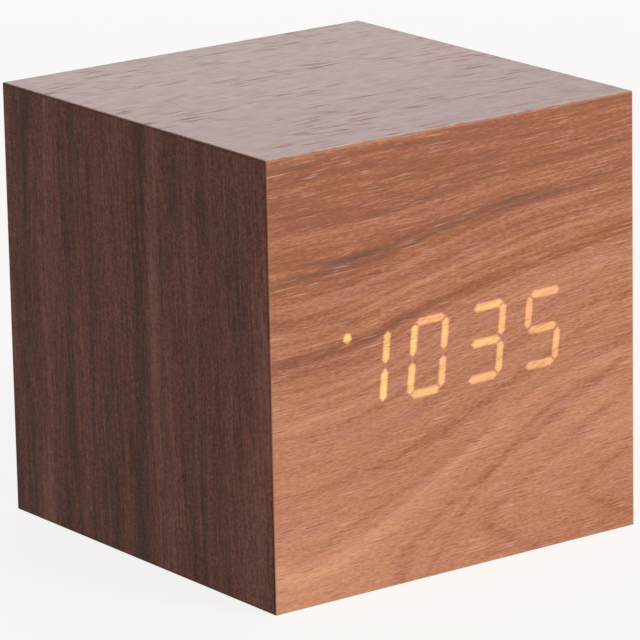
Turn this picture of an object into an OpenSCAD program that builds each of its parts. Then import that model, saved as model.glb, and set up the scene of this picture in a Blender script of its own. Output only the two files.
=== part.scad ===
// Cube alarm clock in wood veneer, with a four-digit display that shines through its front.
// Millimetres, +Z up, front towards -Y, origin at the middle of the underside.

/* [Case] */
// Outside width of the case, left to right
case_w = 80; // [72:1:110]
// Outside depth of the case, front to back
case_d = 80; // [70:1:110]
// Outside height of the case
case_h = 80; // [72:1:110]
// Thickness of the fibreboard panels
board_t = 5; // [4.5:0.1:5.5]
// Thickness of the wood veneer
veneer_t = 0.6; // [0.5:0.1:1]
// Rounding of the outside edges
edge_r = 0.4; // [0.2:0.05:0.45]
// Side of the square blocks glued into the rear corners
block_w = 7.5; // [6.5:0.1:8]
// Length of the corner blocks
block_l = 22; // [14:1:30]

/* [Rear cover] */
// Thickness of the rear cover
cover_t = 3; // [2.8:0.1:4]
// How far the rear cover sits in from the rear edge of the case
cover_inset = 1.2; // [0.8:0.1:3]
// Gap between the rear cover and the case walls
cover_gap = 0.2; // [0.1:0.05:0.5]
// Diameter of the rear cover screws
cover_screw_d = 2.6; // [2.2:0.1:3]
// Length of the rear cover screws under the head
cover_screw_l = 10; // [7:0.5:13]
// Diameter of one sound hole
sound_hole_d = 1.6; // [1.2:0.1:2]

/* [Battery bay] */
// Diameter of one cell
cell_d = 10.5; // [9.8:0.1:10.8]
// Length of one cell with its tip
cell_l = 44.5; // [42:0.5:45.5]
// Space between neighbouring cells
cell_gap = 0.7; // [0.5:0.1:1.1]
// Wall of the battery tray
tray_wall = 1.4; // [1.1:0.1:1.8]
// Length of a contact spring with a cell in place
spring_l = 5.7; // [4:0.1:6.5]
// Thickness of the contact plates
contact_t = 0.4; // [0.3:0.1:0.6]
// Diameter of the tray screws
tray_screw_d = 1.4; // [1.2:0.1:1.5]
// Diameter of the battery leads
lead_d = 1.3; // [1:0.1:1.4]

/* [Battery door] */
// Thickness of the battery door
door_t = 1.2; // [0.9:0.1:1.4]
// Width of the ledge that the door closes on
ledge_w = 1.2; // [0.8:0.1:1.8]
// Gap between the door and the edges of its recess
door_gap = 0.25; // [0.2:0.05:0.4]
// Diameter of the hinge pins
hinge_pin_d = 1.8; // [1.4:0.1:1.9]
// Length of the hinge pins
hinge_pin_l = 1.6; // [1:0.1:1.8]
// Running clearance around the hinge pins
pin_clear = 0.1; // [0.06:0.02:0.14]

/* [Buttons] */
// Length of a button cap
button_l = 9.5; // [7:0.5:10]
// Height of a button cap
button_h = 4.6; // [3.6:0.1:5]
// Spacing of the three buttons
button_pitch = 14; // [13:0.1:14.2]
// How far a button cap stands out of the rear cover
button_rise = 0.9; // [0.6:0.1:1.5]
// Gap between a button cap and its opening
button_gap = 0.25; // [0.2:0.05:0.4]
// How far a button travels
button_travel = 0.5; // [0.25:0.05:0.7]

/* [Circuit boards] */
// Thickness of the circuit boards
pcb_t = 1.6; // [1.2:0.1:2]
// Width of the main circuit board
main_pcb_w = 51; // [50:0.2:52]
// Height of the main circuit board
main_pcb_h = 20; // [19.4:0.1:20.8]
// Height of the bosses that the main circuit board stands on
pcb_boss_h = 7; // [6.6:0.1:9]
// Diameter of the small screws
small_screw_d = 2; // [1.8:0.1:2.2]

/* [Display] */
// Digits that are lit, left to right
shown_digits = [1, 0, 3, 5]; // [0:1:9]
// Height of a digit
digit_h = 14.2; // [12:0.1:15.5]
// Width of a digit
digit_w = 8.2; // [7:0.1:9]
// Spacing of the digits
digit_pitch = 12.7; // [12.2:0.1:13.2]
// Slant of the digits in degrees
digit_slant = 6; // [0:0.5:8]
// Width of a segment
segment_w = 1.45; // [1.2:0.05:1.7]
// Gap between a segment's tip and the corner that it points to
segment_gap = 0.2; // [0.15:0.05:0.35]
// Diameter of the dots
dot_d = 1.6; // [1.2:0.1:1.8]
// Width of the display block
display_w = 50.3; // [50:0.1:52]
// Height of the display block
display_h = 19; // [18:0.1:21]
// Depth of the display block
display_d = 8; // [7:0.1:10]
// Thickness of the diffuser film
film_t = 0.2; // [0.1:0.05:0.3]
// Gap between the display block and the window in the front panel
window_gap = 0.3; // [0.1:0.05:0.6]

/* [Hidden] */
$fn = 48;

// Colours
walnut = "#6b4433";
fibreboard = "#b08a5e";
black_plastic = "#222224";
dark_grey = "#3a3a3d";
steel = "#b9bcc0";
board_green = "#2f6b45";
amber = "#ffb640";

// Small clearances and laps that several pieces share
fit_gap = 0.05;
seat_gap = 0.1;
lap = 0.5;

// Case: the inside of the walls and the faces of the rear cover
wall_t = veneer_t + board_t;
in_w = case_w - 2 * wall_t;
in_h = case_h - 2 * wall_t;
mid_z = case_h / 2;
front_y = -case_d / 2;
rear_y = case_d / 2;
panel_back_y = front_y + wall_t;
cover_w = in_w - 2 * cover_gap;
cover_h = in_h - 2 * cover_gap;
cover_out_y = rear_y - cover_inset;
cover_in_y = cover_out_y - cover_t;
block_x = in_w / 2 - block_w / 2;
block_z = in_h / 2 - block_w / 2;
corners = [for (sx = [-1, 1], sz = [-1, 1]) [sx * block_x, mid_z + sz * block_z]];

// Screws
cover_head_d = 1.9 * cover_screw_d;
cover_head_h = 0.6 * cover_screw_d;
cover_head_sink = 0.3;
small_head_d = 1.9 * small_screw_d;
small_head_h = 0.6 * small_screw_d;
screw_room = 0.2;
boss_d = 4.6;
boss_room = 0.45;

// Battery bay, measured from its lower edge and from the rear cover.
// The height that it and the main circuit board leave free is shared out below and above them.
cell_count = 3;
cell_pitch = cell_d + cell_gap;
cell_tip_d = 3.8;
cell_tip_l = 1;
cell_seat = 0.15;
tray_gap = 0.6;
pcb_gap = 0.8;
bay_l = cell_l + spring_l + 2 * contact_t;
bay_h = cell_count * cell_pitch;
bay_depth = cell_d + 0.5;
rows_h = bay_h + tray_wall + pcb_gap + main_pcb_h;
bay_rise = block_w + tray_gap + tray_wall;
board_headroom = 3.5;
bay_z0 = wall_t + (in_h - rows_h) * bay_rise / (bay_rise + board_headroom);
bay_z1 = bay_z0 + bay_h;
bay_floor_y = cover_in_y - bay_depth;
cell_y = bay_floor_y + cell_seat + cell_d / 2;
plate_x = bay_l / 2 - contact_t;
tray_rib_t = 0.6;
tray_rib_h = 3;
tray_head_d = 1.9 * tray_screw_d;
tray_head_h = 0.6 * tray_screw_d;
ear_w = 3.3;
ear_h = 8;
ear_t = 1.6;
ear_boss_d = 3.2;
ear_boss_h = 5;
ear_y = cover_in_y - ear_boss_h;
ear_x = bay_l / 2 + tray_wall + ear_w / 2;
ear_z = bay_z0 + bay_h / 2;
contact_w = 8;
tab_w = 2;
tab_out = 2.5;
tab_y = cell_y + 2.5;
tab_x = bay_l / 2 + tray_wall + tab_out;
spring_wire_d = 0.6;
spring_turns = 4;
spring_base_r = 3.4;
spring_tip_r = 2.3;

// Battery door and its hinge, in the lower edge of the door's recess
door_flush = 0.1;
hinge_y = cover_out_y - cover_t / 2;
hinge_z = bay_z0;
barrel_r = cover_t / 2 - 2 * door_flush;
hinge_room = cover_t / 2 - door_flush + door_gap;
recess_w = bay_l + 2 * ledge_w;
recess_z1 = bay_z1 + ledge_w;
ledge_y = cover_out_y - door_flush - door_t - seat_gap;
door_w = recess_w - 2 * door_gap;
door_z1 = recess_z1 - door_gap;
door_out_y = cover_out_y - door_flush;
latch_w = 10;
latch_l = 8;
latch_slot = 0.8;
latch_rib_h = 0.35;
notch_r = 10;
notch_rise = 3;
notch_depth = 1;

// Main circuit board, above the battery tray
pcb_z0 = bay_z1 + tray_wall + pcb_gap;
pcb_z1 = pcb_z0 + main_pcb_h;
pcb_mid_z = (pcb_z0 + pcb_z1) / 2;
pcb_rear_y = cover_in_y - pcb_boss_h;
pcb_front_y = pcb_rear_y - pcb_t;
pcb_screw_bite = 4.4;
upper_row_z = pcb_z0 + 15;
buzzer_at = [-12, upper_row_z];
buzzer_d = 9.6;
buzzer_h = 5.6;
sound_ring_r = 3.2;
microphone_at = [0.5, upper_row_z];
microphone_d = 6;
microphone_h = 2.7;
chip_at = [-9, pcb_mid_z + 1];
chip_size = [17.9, 7.5, 2.3];
chip_leads = 14;
chip_lead_pitch = 1.27;
crystal_at = [-9, pcb_z0 + 3];
crystal_size = [11, 4.6, 3.6];
capacitor_at = [10, pcb_z0 + 4.2];
capacitor_d = 6.3;
capacitor_h = 7;

// Buttons and the switches that they press
button_z = pcb_z0 + 6;
flange_t = 1;
flange_lip = 1;
flange_y = cover_in_y - seat_gap;
switch_w = 6;
switch_h = 3.5;
switch_lid_t = 0.4;
plunger_d = 3.4;
plunger_rim_d = 4.4;
plunger_rim_t = 0.6;
plunger_clear = 0.15;
plunger_out = 1.3;
switch_top_y = pcb_rear_y + switch_h;
plunger_top_y = switch_top_y + plunger_out;
plunger_rim_y = switch_top_y - switch_lid_t - fit_gap;
mark_depth = 0.2;

// Power inlet
usb_at = [13, upper_row_z];
usb_w = 7.5;
usb_h = 2.6;
usb_wall = 0.3;
usb_corner_r = 0.6;
usb_slot_gap = 0.25;
usb_mouth_y = cover_out_y - 0.2;
usb_base_l = 4;
usb_tongue_w = 4.2;
usb_tongue_t = 0.7;
plug_recess_w = 11.6;
plug_recess_h = 7;
plug_recess_depth = 1;

// Holes of the main circuit board, and its neck between the upper corner blocks
pcb_hole_inset = 3;
neck_hole_x = usb_at.x + usb_w / 2 + boss_room + boss_d / 2;
neck_w = 2 * neck_hole_x + boss_d + boss_room;
neck_h = 8;
pcb_holes = [
    for (side = [-1, 1], p = [
        [main_pcb_w / 2 - pcb_hole_inset, pcb_z0 + pcb_hole_inset],
        [neck_hole_x, pcb_z1 - pcb_hole_inset]
    ]) [side * p.x, p.y]
];

// Display, behind the front veneer
display_front_y = front_y + veneer_t + film_t;
display_back_y = display_front_y + display_d;
display_pcb_rear_y = display_back_y + pcb_t;
window_w = display_w + 2 * window_gap;
window_h = display_h + 2 * window_gap;
node_x = (digit_w - segment_w) / 2;
node_z = (digit_h - segment_w) / 2;
alarm_dot = [-1.5 * digit_pitch - 5.3, 6.4];
colon_dots = [[0, node_z / 2], [0, -node_z / 2]];
led_l = 1.6;
led_w = 0.7;
led_h = 0.6;
spacer_d = 5;
spacer_x = 26;
spacer_z = window_h / 2 + spacer_d / 2 + 0.3;
spacer_at = [for (sx = [-1, 1], sz = [-1, 1]) [sx * spacer_x, mid_z + sz * spacer_z]];
display_pcb_w = 2 * (spacer_x + 3);
display_pcb_h = 2 * (spacer_z + 3);
panel_bite = 3.4;
display_screw_l = pcb_t + display_back_y - panel_back_y + panel_bite;

// Ribbon cable, with an upward bend between two level runs
ribbon_x = 10;
ribbon_w = 12.7;
ribbon_t = 0.9;
ribbon_bend_r = 6;
ribbon_angle = 60;
ribbon_step = 10;
connector_w = 14.5;
connector_h = 5.5;
connector_l = 6;
ribbon_start = [display_pcb_rear_y + connector_l, mid_z];
ribbon_end = [pcb_front_y - connector_l, pcb_mid_z + 2];
ribbon_rise = ribbon_end.y - ribbon_start.y;
ribbon_climb = (ribbon_rise - 2 * ribbon_bend_r * (1 - cos(ribbon_angle))) / sin(ribbon_angle);
ribbon_bends = 2 * ribbon_bend_r * sin(ribbon_angle) + ribbon_climb * cos(ribbon_angle);
ribbon_level = (ribbon_end.x - ribbon_start.x - ribbon_bends) / 2;

// Battery leads, from the contact tabs to the main circuit board.
// Measured from the inner face of the rear cover and the lower edge of the battery bay.
lead_sides = 8;
lead_steps = 4;
positive_route = [
    [28.2, -3.4, 5.6], [28.2, -4.6, 5.6], [28.2, -8, 7.2], [28.2, -10.4, 11.5], [28.2, -11, 18],
    [28.2, -11, 26], [28.2, -11, 33], [27.2, -11.2, 37.8], [25.2, -11.2, 41], [22.8, -11.2, 44],
    [21.5, -10.2, 45.8], [21.5, -8.7, 45.8]
];
negative_route = [
    [-28.2, -3.4, 28], [-28.2, -4.6, 28], [-28.2, -8, 29.8], [-28.2, -10.6, 33.5],
    [-27.2, -11.2, 37.8], [-25.2, -11.2, 41], [-23, -11.2, 44], [-22, -10.2, 45.8], [-22, -8.7, 45.8]
];

// Segments of each digit from 0 to 9, by the usual letters
digit_segments = [
    "abcdef", "bc", "abdeg", "abcdg", "bcfg", "acdfg", "acdefg", "abc", "abcdefg", "abcdfg"
];
segment_letters = "abcdefg";
segment_middles = [
    [0, node_z], [node_x, node_z / 2], [node_x, -node_z / 2], [0, -node_z],
    [-node_x, -node_z / 2], [-node_x, node_z / 2], [0, 0]
];

// Leans a point of the display by the slant of the digits
function lean(p) = [p.x + p.y * tan(digit_slant), p.y];

// Middle of the digit at one place in the row
function digit_x(place) = (place - 1.5) * digit_pitch;

// Whether a segment of the digit at one place is lit
function is_lit(place, s) = len(search(segment_letters[s], digit_segments[shown_digits[place]])) > 0;

// Segments a, d and g lie level and the others stand
function is_level(s) = s % 3 == 0;

// Outline of a level bar with pointed ends
function bar(l, w) = [
    [-l / 2, 0], [-l / 2 + w / 2, w / 2], [l / 2 - w / 2, w / 2],
    [l / 2, 0], [l / 2 - w / 2, -w / 2], [-l / 2 + w / 2, -w / 2]
];

// Outline of one segment, made smaller all round by an inset
function segment_outline(place, s, inset) =
    let (
        span = is_level(s) ? 2 * node_x : node_z,
        outline = bar(span - 2 * segment_gap - 3 * inset, segment_w - 2 * inset)
    )
    [for (p = outline) lean(segment_middles[s] + (is_level(s) ? p : [p.y, p.x])) + [digit_x(place), 0]];

// Point and direction of a smooth curve through a route's points
function route_end(route, i) =
    i < 0 ? 2 * route[0] - route[1]
    : i >= len(route) ? 2 * route[len(route) - 1] - route[len(route) - 2]
    : route[i];
function curve_point(a, b, c, d, t) =
    b + t * (c - a) / 2 + t * t * (2 * a - 5 * b + 4 * c - d) / 2 + t * t * t * (3 * b - a - 3 * c + d) / 2;
function curve_slope(a, b, c, d, t) =
    (c - a) / 2 + t * (2 * a - 5 * b + 4 * c - d) + t * t * (3 * b - a - 3 * c + d) * 3 / 2;
function route_samples(route) = [
    for (i = [0 : len(route) - 2], k = [0 : lead_steps - (i == len(route) - 2 ? 0 : 1)])
        let (
            a = route_end(route, i - 1),
            b = route[i],
            c = route[i + 1],
            d = route_end(route, i + 2),
            t = k / lead_steps
        )
        [curve_point(a, b, c, d, t), curve_slope(a, b, c, d, t)]
];

// Ring of points round a sample, square to its direction
function ring(sample, r, sides) =
    let (
        along = sample[1] / norm(sample[1]),
        across = cross(along, [1, 0, 0]),
        level = norm(across) < 0.05 ? [0, 1, 0] : across / norm(across),
        other = cross(along, level)
    )
    [for (k = [0 : sides - 1]) sample[0] + r * (cos(360 * k / sides) * level + sin(360 * k / sides) * other)];

// Middle line of the ribbon cable as points and headings: level, bent up, climbing, bent back, level
function ribbon_line() =
    let (
        turn = ribbon_angle,
        r = ribbon_bend_r,
        first = ribbon_start + [ribbon_level, 0],
        second = first + r * [sin(turn), 1 - cos(turn)] + ribbon_climb * [cos(turn), sin(turn)]
    )
    concat(
        [[ribbon_start, 0]],
        [for (a = [0 : ribbon_step : turn]) [first + r * [sin(a), 1 - cos(a)], a]],
        [for (a = [turn : -ribbon_step : 0]) [second + r * [sin(turn) - sin(a), cos(a) - cos(turn)], a]],
        [[ribbon_end, 0]]
    );

// Round tube through a list of samples
module tube(samples, d, sides) {
    rings = [for (s = samples) ring(s, d / 2, sides)];
    last = len(rings) - 1;
    points = [for (one = rings, p = one) p];
    skin = [
        for (i = [0 : last - 1], k = [0 : sides - 1])
            let (n = (k + 1) % sides)
            [i * sides + k, i * sides + n, (i + 1) * sides + n, (i + 1) * sides + k]
    ];
    start_cap = [for (k = [sides - 1 : -1 : 0]) k];
    end_cap = [for (k = [0 : sides - 1]) last * sides + k];
    polyhedron(points, concat(skin, [start_cap, end_cap]), convexity = 10);
}

// Extrudes an outline drawn in X and Z from one depth to another
module along_y(y0, y1) {
    translate([0, y1, 0])
        rotate([90, 0, 0])
            linear_extrude(y1 - y0)
                children();
}

// Extrudes an outline drawn in Y and Z from one side to another
module along_x(x0, x1) {
    translate([x0, 0, 0])
        rotate([90, 0, 90])
            linear_extrude(x1 - x0)
                children();
}

// Rectangle with arcs at its corners
module round_rect(w, h, r) {
    square([w - 2 * r, h], center = true);
    square([w, h - 2 * r], center = true);
    for (sx = [-1, 1], sy = [-1, 1])
        translate([sx * (w / 2 - r), sy * (h / 2 - r)])
            circle(r);
}

// Bar with round ends
module slot_outline(l, h) {
    square([l - h, h], center = true);
    for (side = [-1, 1])
        translate([side * (l - h) / 2, 0])
            circle(d = h);
}

// Screw with a chamfered head and a cross recess, its head's seat at the origin and its tip towards -Z
module screw(d, l, head_d, head_h) {
    chamfer = head_h / 3;
    recess_l = 0.55 * head_d;
    recess_w = 0.14 * head_d;
    difference() {
        union() {
            translate([0, 0, -l])
                cylinder(d = d, h = l + head_h / 2);
            cylinder(d = head_d, h = head_h - chamfer);
            translate([0, 0, head_h - chamfer])
                cylinder(d1 = head_d, d2 = head_d - 2 * chamfer, h = chamfer);
        }
        for (turn = [0, 90])
            rotate([0, 0, turn])
                translate([0, 0, head_h])
                    cube([recess_l, recess_w, head_h], center = true);
    }
}

// Lower wall of the case between two depths, mitred to the front and to its neighbours
module floor_layer(span, outer, inner, end_y) {
    intersection() {
        along_y(front_y, end_y)
            polygon([
                [-span / 2 + outer, outer], [span / 2 - outer, outer],
                [span / 2 - inner, inner], [-span / 2 + inner, inner]
            ]);
        along_x(-span / 2, span / 2)
            polygon([
                [front_y + outer, outer], [end_y, outer],
                [end_y, inner], [front_y + inner, inner]
            ]);
    }
}

// Front wall of the case between two depths, mitred all round
module front_layer(outer, inner) {
    intersection() {
        linear_extrude(case_h)
            polygon([
                [-case_w / 2 + outer, front_y + outer], [case_w / 2 - outer, front_y + outer],
                [case_w / 2 - inner, front_y + inner], [-case_w / 2 + inner, front_y + inner]
            ]);
        along_x(-case_w / 2, case_w / 2)
            polygon([
                [front_y + outer, outer], [front_y + inner, inner],
                [front_y + inner, case_h - inner], [front_y + outer, case_h - outer]
            ]);
    }
}

// Stands a lower wall up as the left or right wall, or turns it over as the top
module as_left() {
    translate([-case_w / 2, 0, mid_z])
        rotate([0, 90, 0])
            children();
}

module as_right() {
    mirror([1, 0, 0])
        as_left()
            children();
}

module as_top() {
    translate([0, 0, case_h])
        mirror([0, 0, 1])
            children();
}

// The whole case as a block with rounded edges
module case_block() {
    intersection() {
        linear_extrude(case_h)
            round_rect(case_w, case_d, edge_r);
        along_y(front_y, rear_y)
            translate([0, mid_z])
                round_rect(case_w, case_h, edge_r);
        along_x(-case_w / 2, case_w / 2)
            translate([0, mid_z])
                round_rect(case_d, case_h, edge_r);
    }
}

module front_veneer() {
    color(walnut)
        intersection() {
            front_layer(0, veneer_t);
            case_block();
        }
}

module left_veneer() {
    color(walnut)
        intersection() {
            as_left()
                floor_layer(case_h, 0, veneer_t, rear_y);
            case_block();
        }
}

module right_veneer() {
    color(walnut)
        intersection() {
            as_right()
                floor_layer(case_h, 0, veneer_t, rear_y);
            case_block();
        }
}

module top_veneer() {
    color(walnut)
        intersection() {
            as_top()
                floor_layer(case_w, 0, veneer_t, rear_y);
            case_block();
        }
}

module bottom_veneer() {
    color(walnut)
        intersection() {
            floor_layer(case_w, 0, veneer_t, rear_y);
            case_block();
        }
}

module front_board() {
    color(fibreboard)
        difference() {
            front_layer(veneer_t, wall_t);
            along_y(front_y, panel_back_y + lap)
                translate([0, mid_z])
                    square([window_w, window_h], center = true);
            for (p = spacer_at)
                along_y(panel_back_y - panel_bite - lap, panel_back_y + lap)
                    translate(p)
                        circle(d = small_screw_d + 2 * fit_gap);
        }
}

module left_board() {
    color(fibreboard)
        as_left()
            floor_layer(case_h, veneer_t, wall_t, rear_y - veneer_t);
}

module right_board() {
    color(fibreboard)
        as_right()
            floor_layer(case_h, veneer_t, wall_t, rear_y - veneer_t);
}

module top_board() {
    color(fibreboard)
        as_top()
            floor_layer(case_w, veneer_t, wall_t, rear_y - veneer_t);
}

module bottom_board() {
    color(fibreboard)
        floor_layer(case_w, veneer_t, wall_t, rear_y - veneer_t);
}

// Mitred strip along the lower rear edge of the boards
module edge_band(span) {
    long_half = span / 2 - veneer_t - fit_gap;
    short_half = span / 2 - wall_t - fit_gap;
    along_y(rear_y - veneer_t, rear_y)
        polygon([
            [-long_half, veneer_t], [long_half, veneer_t],
            [short_half, wall_t], [-short_half, wall_t]
        ]);
}

module rear_edge_bands() {
    color(walnut) {
        edge_band(case_w);
        as_top()
            edge_band(case_w);
        as_left()
            edge_band(case_h);
        as_right()
            edge_band(case_h);
    }
}

module corner_blocks() {
    color(fibreboard)
        for (p = corners)
            difference() {
                along_y(cover_in_y - block_l, cover_in_y)
                    translate(p)
                        square(block_w, center = true);
                along_y(cover_in_y - cover_screw_l, cover_in_y + lap)
                    translate(p)
                        circle(d = cover_screw_d + 2 * fit_gap);
            }
}

// Middle of each button, from the left as seen from the rear
set_at = [button_pitch, button_z];
down_at = [0, button_z];
up_at = [-button_pitch, button_z];
button_places = [set_at, down_at, up_at];

// Openings for the battery door: the bay, the ledge and the room for the hinge barrel
module door_cutout() {
    along_y(cover_in_y - lap, cover_out_y + lap)
        translate([-bay_l / 2, hinge_z])
            square([bay_l, bay_h]);
    along_y(ledge_y, cover_out_y + lap)
        translate([-recess_w / 2, hinge_z])
            square([recess_w, recess_z1 - hinge_z]);
    along_y(cover_in_y - lap, cover_out_y + lap)
        translate([0, hinge_z])
            square([recess_w, 2 * hinge_room], center = true);
    along_x(-recess_w / 2 - hinge_pin_l, recess_w / 2 + hinge_pin_l)
        translate([hinge_y, hinge_z])
            circle(d = hinge_pin_d + 2 * pin_clear);
    along_y(cover_out_y - notch_depth, cover_out_y + lap)
        translate([0, recess_z1 + notch_rise - notch_r])
            circle(notch_r);
}

// Opening for the power inlet, with a recess for the plug's grip
module inlet_cutout() {
    along_y(cover_in_y - lap, cover_out_y + lap)
        translate(usb_at)
            round_rect(usb_w + 2 * usb_slot_gap, usb_h + 2 * usb_slot_gap, usb_corner_r);
    along_y(cover_out_y - plug_recess_depth, cover_out_y + lap)
        translate(usb_at)
            round_rect(plug_recess_w, plug_recess_h, 2 * usb_corner_r);
}

// Holes in front of the buzzer and the microphone
module sound_holes() {
    along_y(cover_in_y - lap, cover_out_y + lap) {
        translate(buzzer_at)
            circle(d = sound_hole_d);
        for (turn = [0 : 60 : 300])
            translate(buzzer_at)
                rotate(turn)
                    translate([sound_ring_r, 0])
                        circle(d = sound_hole_d);
        translate(microphone_at)
            circle(d = sound_hole_d);
    }
}

module rear_cover() {
    color(black_plastic)
        difference() {
            union() {
                along_y(cover_in_y, cover_out_y)
                    translate([0, mid_z])
                        square([cover_w, cover_h], center = true);
                for (p = pcb_holes)
                    along_y(pcb_rear_y, cover_in_y + lap)
                        translate(p)
                            circle(d = boss_d);
                for (side = [-1, 1])
                    along_y(ear_y, cover_in_y + lap)
                        translate([side * ear_x, ear_z])
                            circle(d = ear_boss_d);
            }
            door_cutout();
            inlet_cutout();
            sound_holes();
            for (p = button_places)
                along_y(cover_in_y - lap, cover_out_y + lap)
                    translate(p)
                        slot_outline(button_l + 2 * button_gap, button_h + 2 * button_gap);
            for (p = corners) {
                along_y(cover_in_y - lap, cover_out_y + lap)
                    translate(p)
                        circle(d = cover_screw_d + 2 * screw_room);
                along_y(cover_out_y - cover_head_h - cover_head_sink, cover_out_y + lap)
                    translate(p)
                        circle(d = cover_head_d + 2 * screw_room);
            }
            for (p = pcb_holes)
                along_y(pcb_rear_y - lap, pcb_rear_y + pcb_screw_bite + lap)
                    translate(p)
                        circle(d = small_screw_d + 2 * fit_gap);
            for (side = [-1, 1])
                along_y(ear_y - lap, cover_in_y)
                    translate([side * ear_x, ear_z])
                        circle(d = tray_screw_d + 2 * fit_gap);
        }
}

module rear_cover_screws() {
    color(steel)
        for (p = corners)
            translate([p.x, cover_out_y - cover_head_h - cover_head_sink, p.y])
                rotate([-90, 0, 0])
                    screw(cover_screw_d, cover_screw_l - cover_t, cover_head_d, cover_head_h);
}

module diffuser_film() {
    color("whitesmoke")
        along_y(front_y + veneer_t, display_front_y)
            translate([0, mid_z])
                square([display_w, display_h], center = true);
}

// Outlines of the lit or the unlit segments and dots
module segment_outlines(lit, inset) {
    for (place = [0 : 3], s = [0 : 6])
        if (is_lit(place, s) == lit)
            polygon(segment_outline(place, s, inset));
    for (p = lit ? [alarm_dot] : colon_dots)
        translate(lean(p))
            circle(d = dot_d - 2 * inset);
}

module display_housing() {
    color(dark_grey)
        translate([0, 0, mid_z])
            difference() {
                along_y(display_front_y, display_back_y)
                    square([display_w, display_h], center = true);
                along_y(display_front_y - lap, display_back_y + lap) {
                    segment_outlines(true, 0);
                    segment_outlines(false, 0);
                }
            }
}

module lit_segments() {
    color(amber)
        translate([0, 0, mid_z])
            along_y(display_front_y, display_back_y - led_h - fit_gap)
                segment_outlines(true, fit_gap);
}

module unlit_segments() {
    color("gainsboro")
        translate([0, 0, mid_z])
            along_y(display_front_y, display_back_y - led_h - fit_gap)
                segment_outlines(false, fit_gap);
}

module led_chips() {
    color("gold")
        translate([0, 0, mid_z])
            along_y(display_back_y - led_h, display_back_y) {
                for (place = [0 : 3], s = [0 : 6])
                    translate(lean(segment_middles[s]) + [digit_x(place), 0])
                        square(is_level(s) ? [led_l, led_w] : [led_w, led_l], center = true);
                for (p = concat([alarm_dot], colon_dots))
                    translate(lean(p))
                        square(led_w, center = true);
            }
}

module display_pcb() {
    color(board_green)
        difference() {
            along_y(display_back_y, display_pcb_rear_y)
                translate([0, mid_z])
                    square([display_pcb_w, display_pcb_h], center = true);
            for (p = spacer_at)
                along_y(display_back_y - lap, display_pcb_rear_y + lap)
                    translate(p)
                        circle(d = small_screw_d + 2 * screw_room);
        }
}

module display_spacers() {
    color("ivory")
        for (p = spacer_at)
            along_y(panel_back_y, display_back_y)
                translate(p)
                    difference() {
                        circle(d = spacer_d);
                        circle(d = small_screw_d + 2 * screw_room);
                    }
}

module display_screws() {
    color(steel)
        for (p = spacer_at)
            translate([p.x, display_pcb_rear_y, p.y])
                rotate([-90, 0, 0])
                    screw(small_screw_d, display_screw_l, small_head_d, small_head_h);
}

module display_connector() {
    color("ivory")
        along_y(display_pcb_rear_y, ribbon_start.x)
            translate([ribbon_x, ribbon_start.y])
                square([connector_w, connector_h], center = true);
}

module main_connector() {
    color("ivory")
        along_y(ribbon_end.x, pcb_front_y)
            translate([ribbon_x, ribbon_end.y])
                square([connector_w, connector_h], center = true);
}

module ribbon_cable() {
    line = ribbon_line();
    sides = [for (side = [-1, 1]) [for (s = line) s[0] + side * ribbon_t / 2 * [-sin(s[1]), cos(s[1])]]];
    last = len(line) - 1;
    color("lightgrey")
        along_x(ribbon_x - ribbon_w / 2, ribbon_x + ribbon_w / 2)
            polygon(concat(sides[0], [for (i = [last : -1 : 0]) sides[1][i]]));
}

module main_pcb() {
    color(board_green)
        difference() {
            along_y(pcb_front_y, pcb_rear_y) {
                translate([-main_pcb_w / 2, pcb_z0])
                    square([main_pcb_w, main_pcb_h - neck_h]);
                translate([-neck_w / 2, pcb_z0])
                    square([neck_w, main_pcb_h]);
            }
            for (p = pcb_holes)
                along_y(pcb_front_y - lap, pcb_rear_y + lap)
                    translate(p)
                        circle(d = small_screw_d + 2 * screw_room);
        }
}

module main_pcb_screws() {
    color(steel)
        for (p = pcb_holes)
            translate([p.x, pcb_front_y, p.y])
                rotate([90, 0, 0])
                    screw(small_screw_d, pcb_t + pcb_screw_bite, small_head_d, small_head_h);
}

module controller_chip() {
    stand_off = 0.2;
    lead_w = 0.42;
    lead_t = 0.9;
    lead_reach = 1.5;
    color("#18181a")
        union() {
            along_y(pcb_front_y - stand_off - chip_size.z, pcb_front_y - stand_off)
                translate(chip_at)
                    square([chip_size.x, chip_size.y], center = true);
            for (i = [0 : chip_leads - 1])
                along_y(pcb_front_y - lead_t, pcb_front_y)
                    translate(chip_at + [(i - (chip_leads - 1) / 2) * chip_lead_pitch, 0])
                        square([lead_w, chip_size.y + 2 * lead_reach], center = true);
        }
}

module crystal() {
    color(steel)
        along_y(pcb_front_y - crystal_size.z, pcb_front_y)
            translate(crystal_at)
                slot_outline(crystal_size.x, crystal_size.y);
}

module capacitor() {
    color("midnightblue")
        along_y(pcb_front_y - capacitor_h, pcb_front_y)
            translate(capacitor_at)
                circle(d = capacitor_d);
}

module buzzer() {
    hole_d = 2;
    hole_depth = 2;
    color(black_plastic)
        difference() {
            along_y(pcb_rear_y, pcb_rear_y + buzzer_h)
                translate(buzzer_at)
                    circle(d = buzzer_d);
            along_y(pcb_rear_y + buzzer_h - hole_depth, pcb_rear_y + buzzer_h + lap)
                translate(buzzer_at)
                    circle(d = hole_d);
        }
}

module microphone() {
    color(steel)
        along_y(pcb_rear_y, pcb_rear_y + microphone_h)
            translate(microphone_at)
                circle(d = microphone_d);
}

module usb_shell() {
    color(steel)
        along_y(pcb_rear_y, usb_mouth_y)
            translate(usb_at)
                difference() {
                    round_rect(usb_w, usb_h, usb_corner_r);
                    round_rect(usb_w - 2 * usb_wall, usb_h - 2 * usb_wall, usb_corner_r - usb_wall);
                }
}

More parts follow.
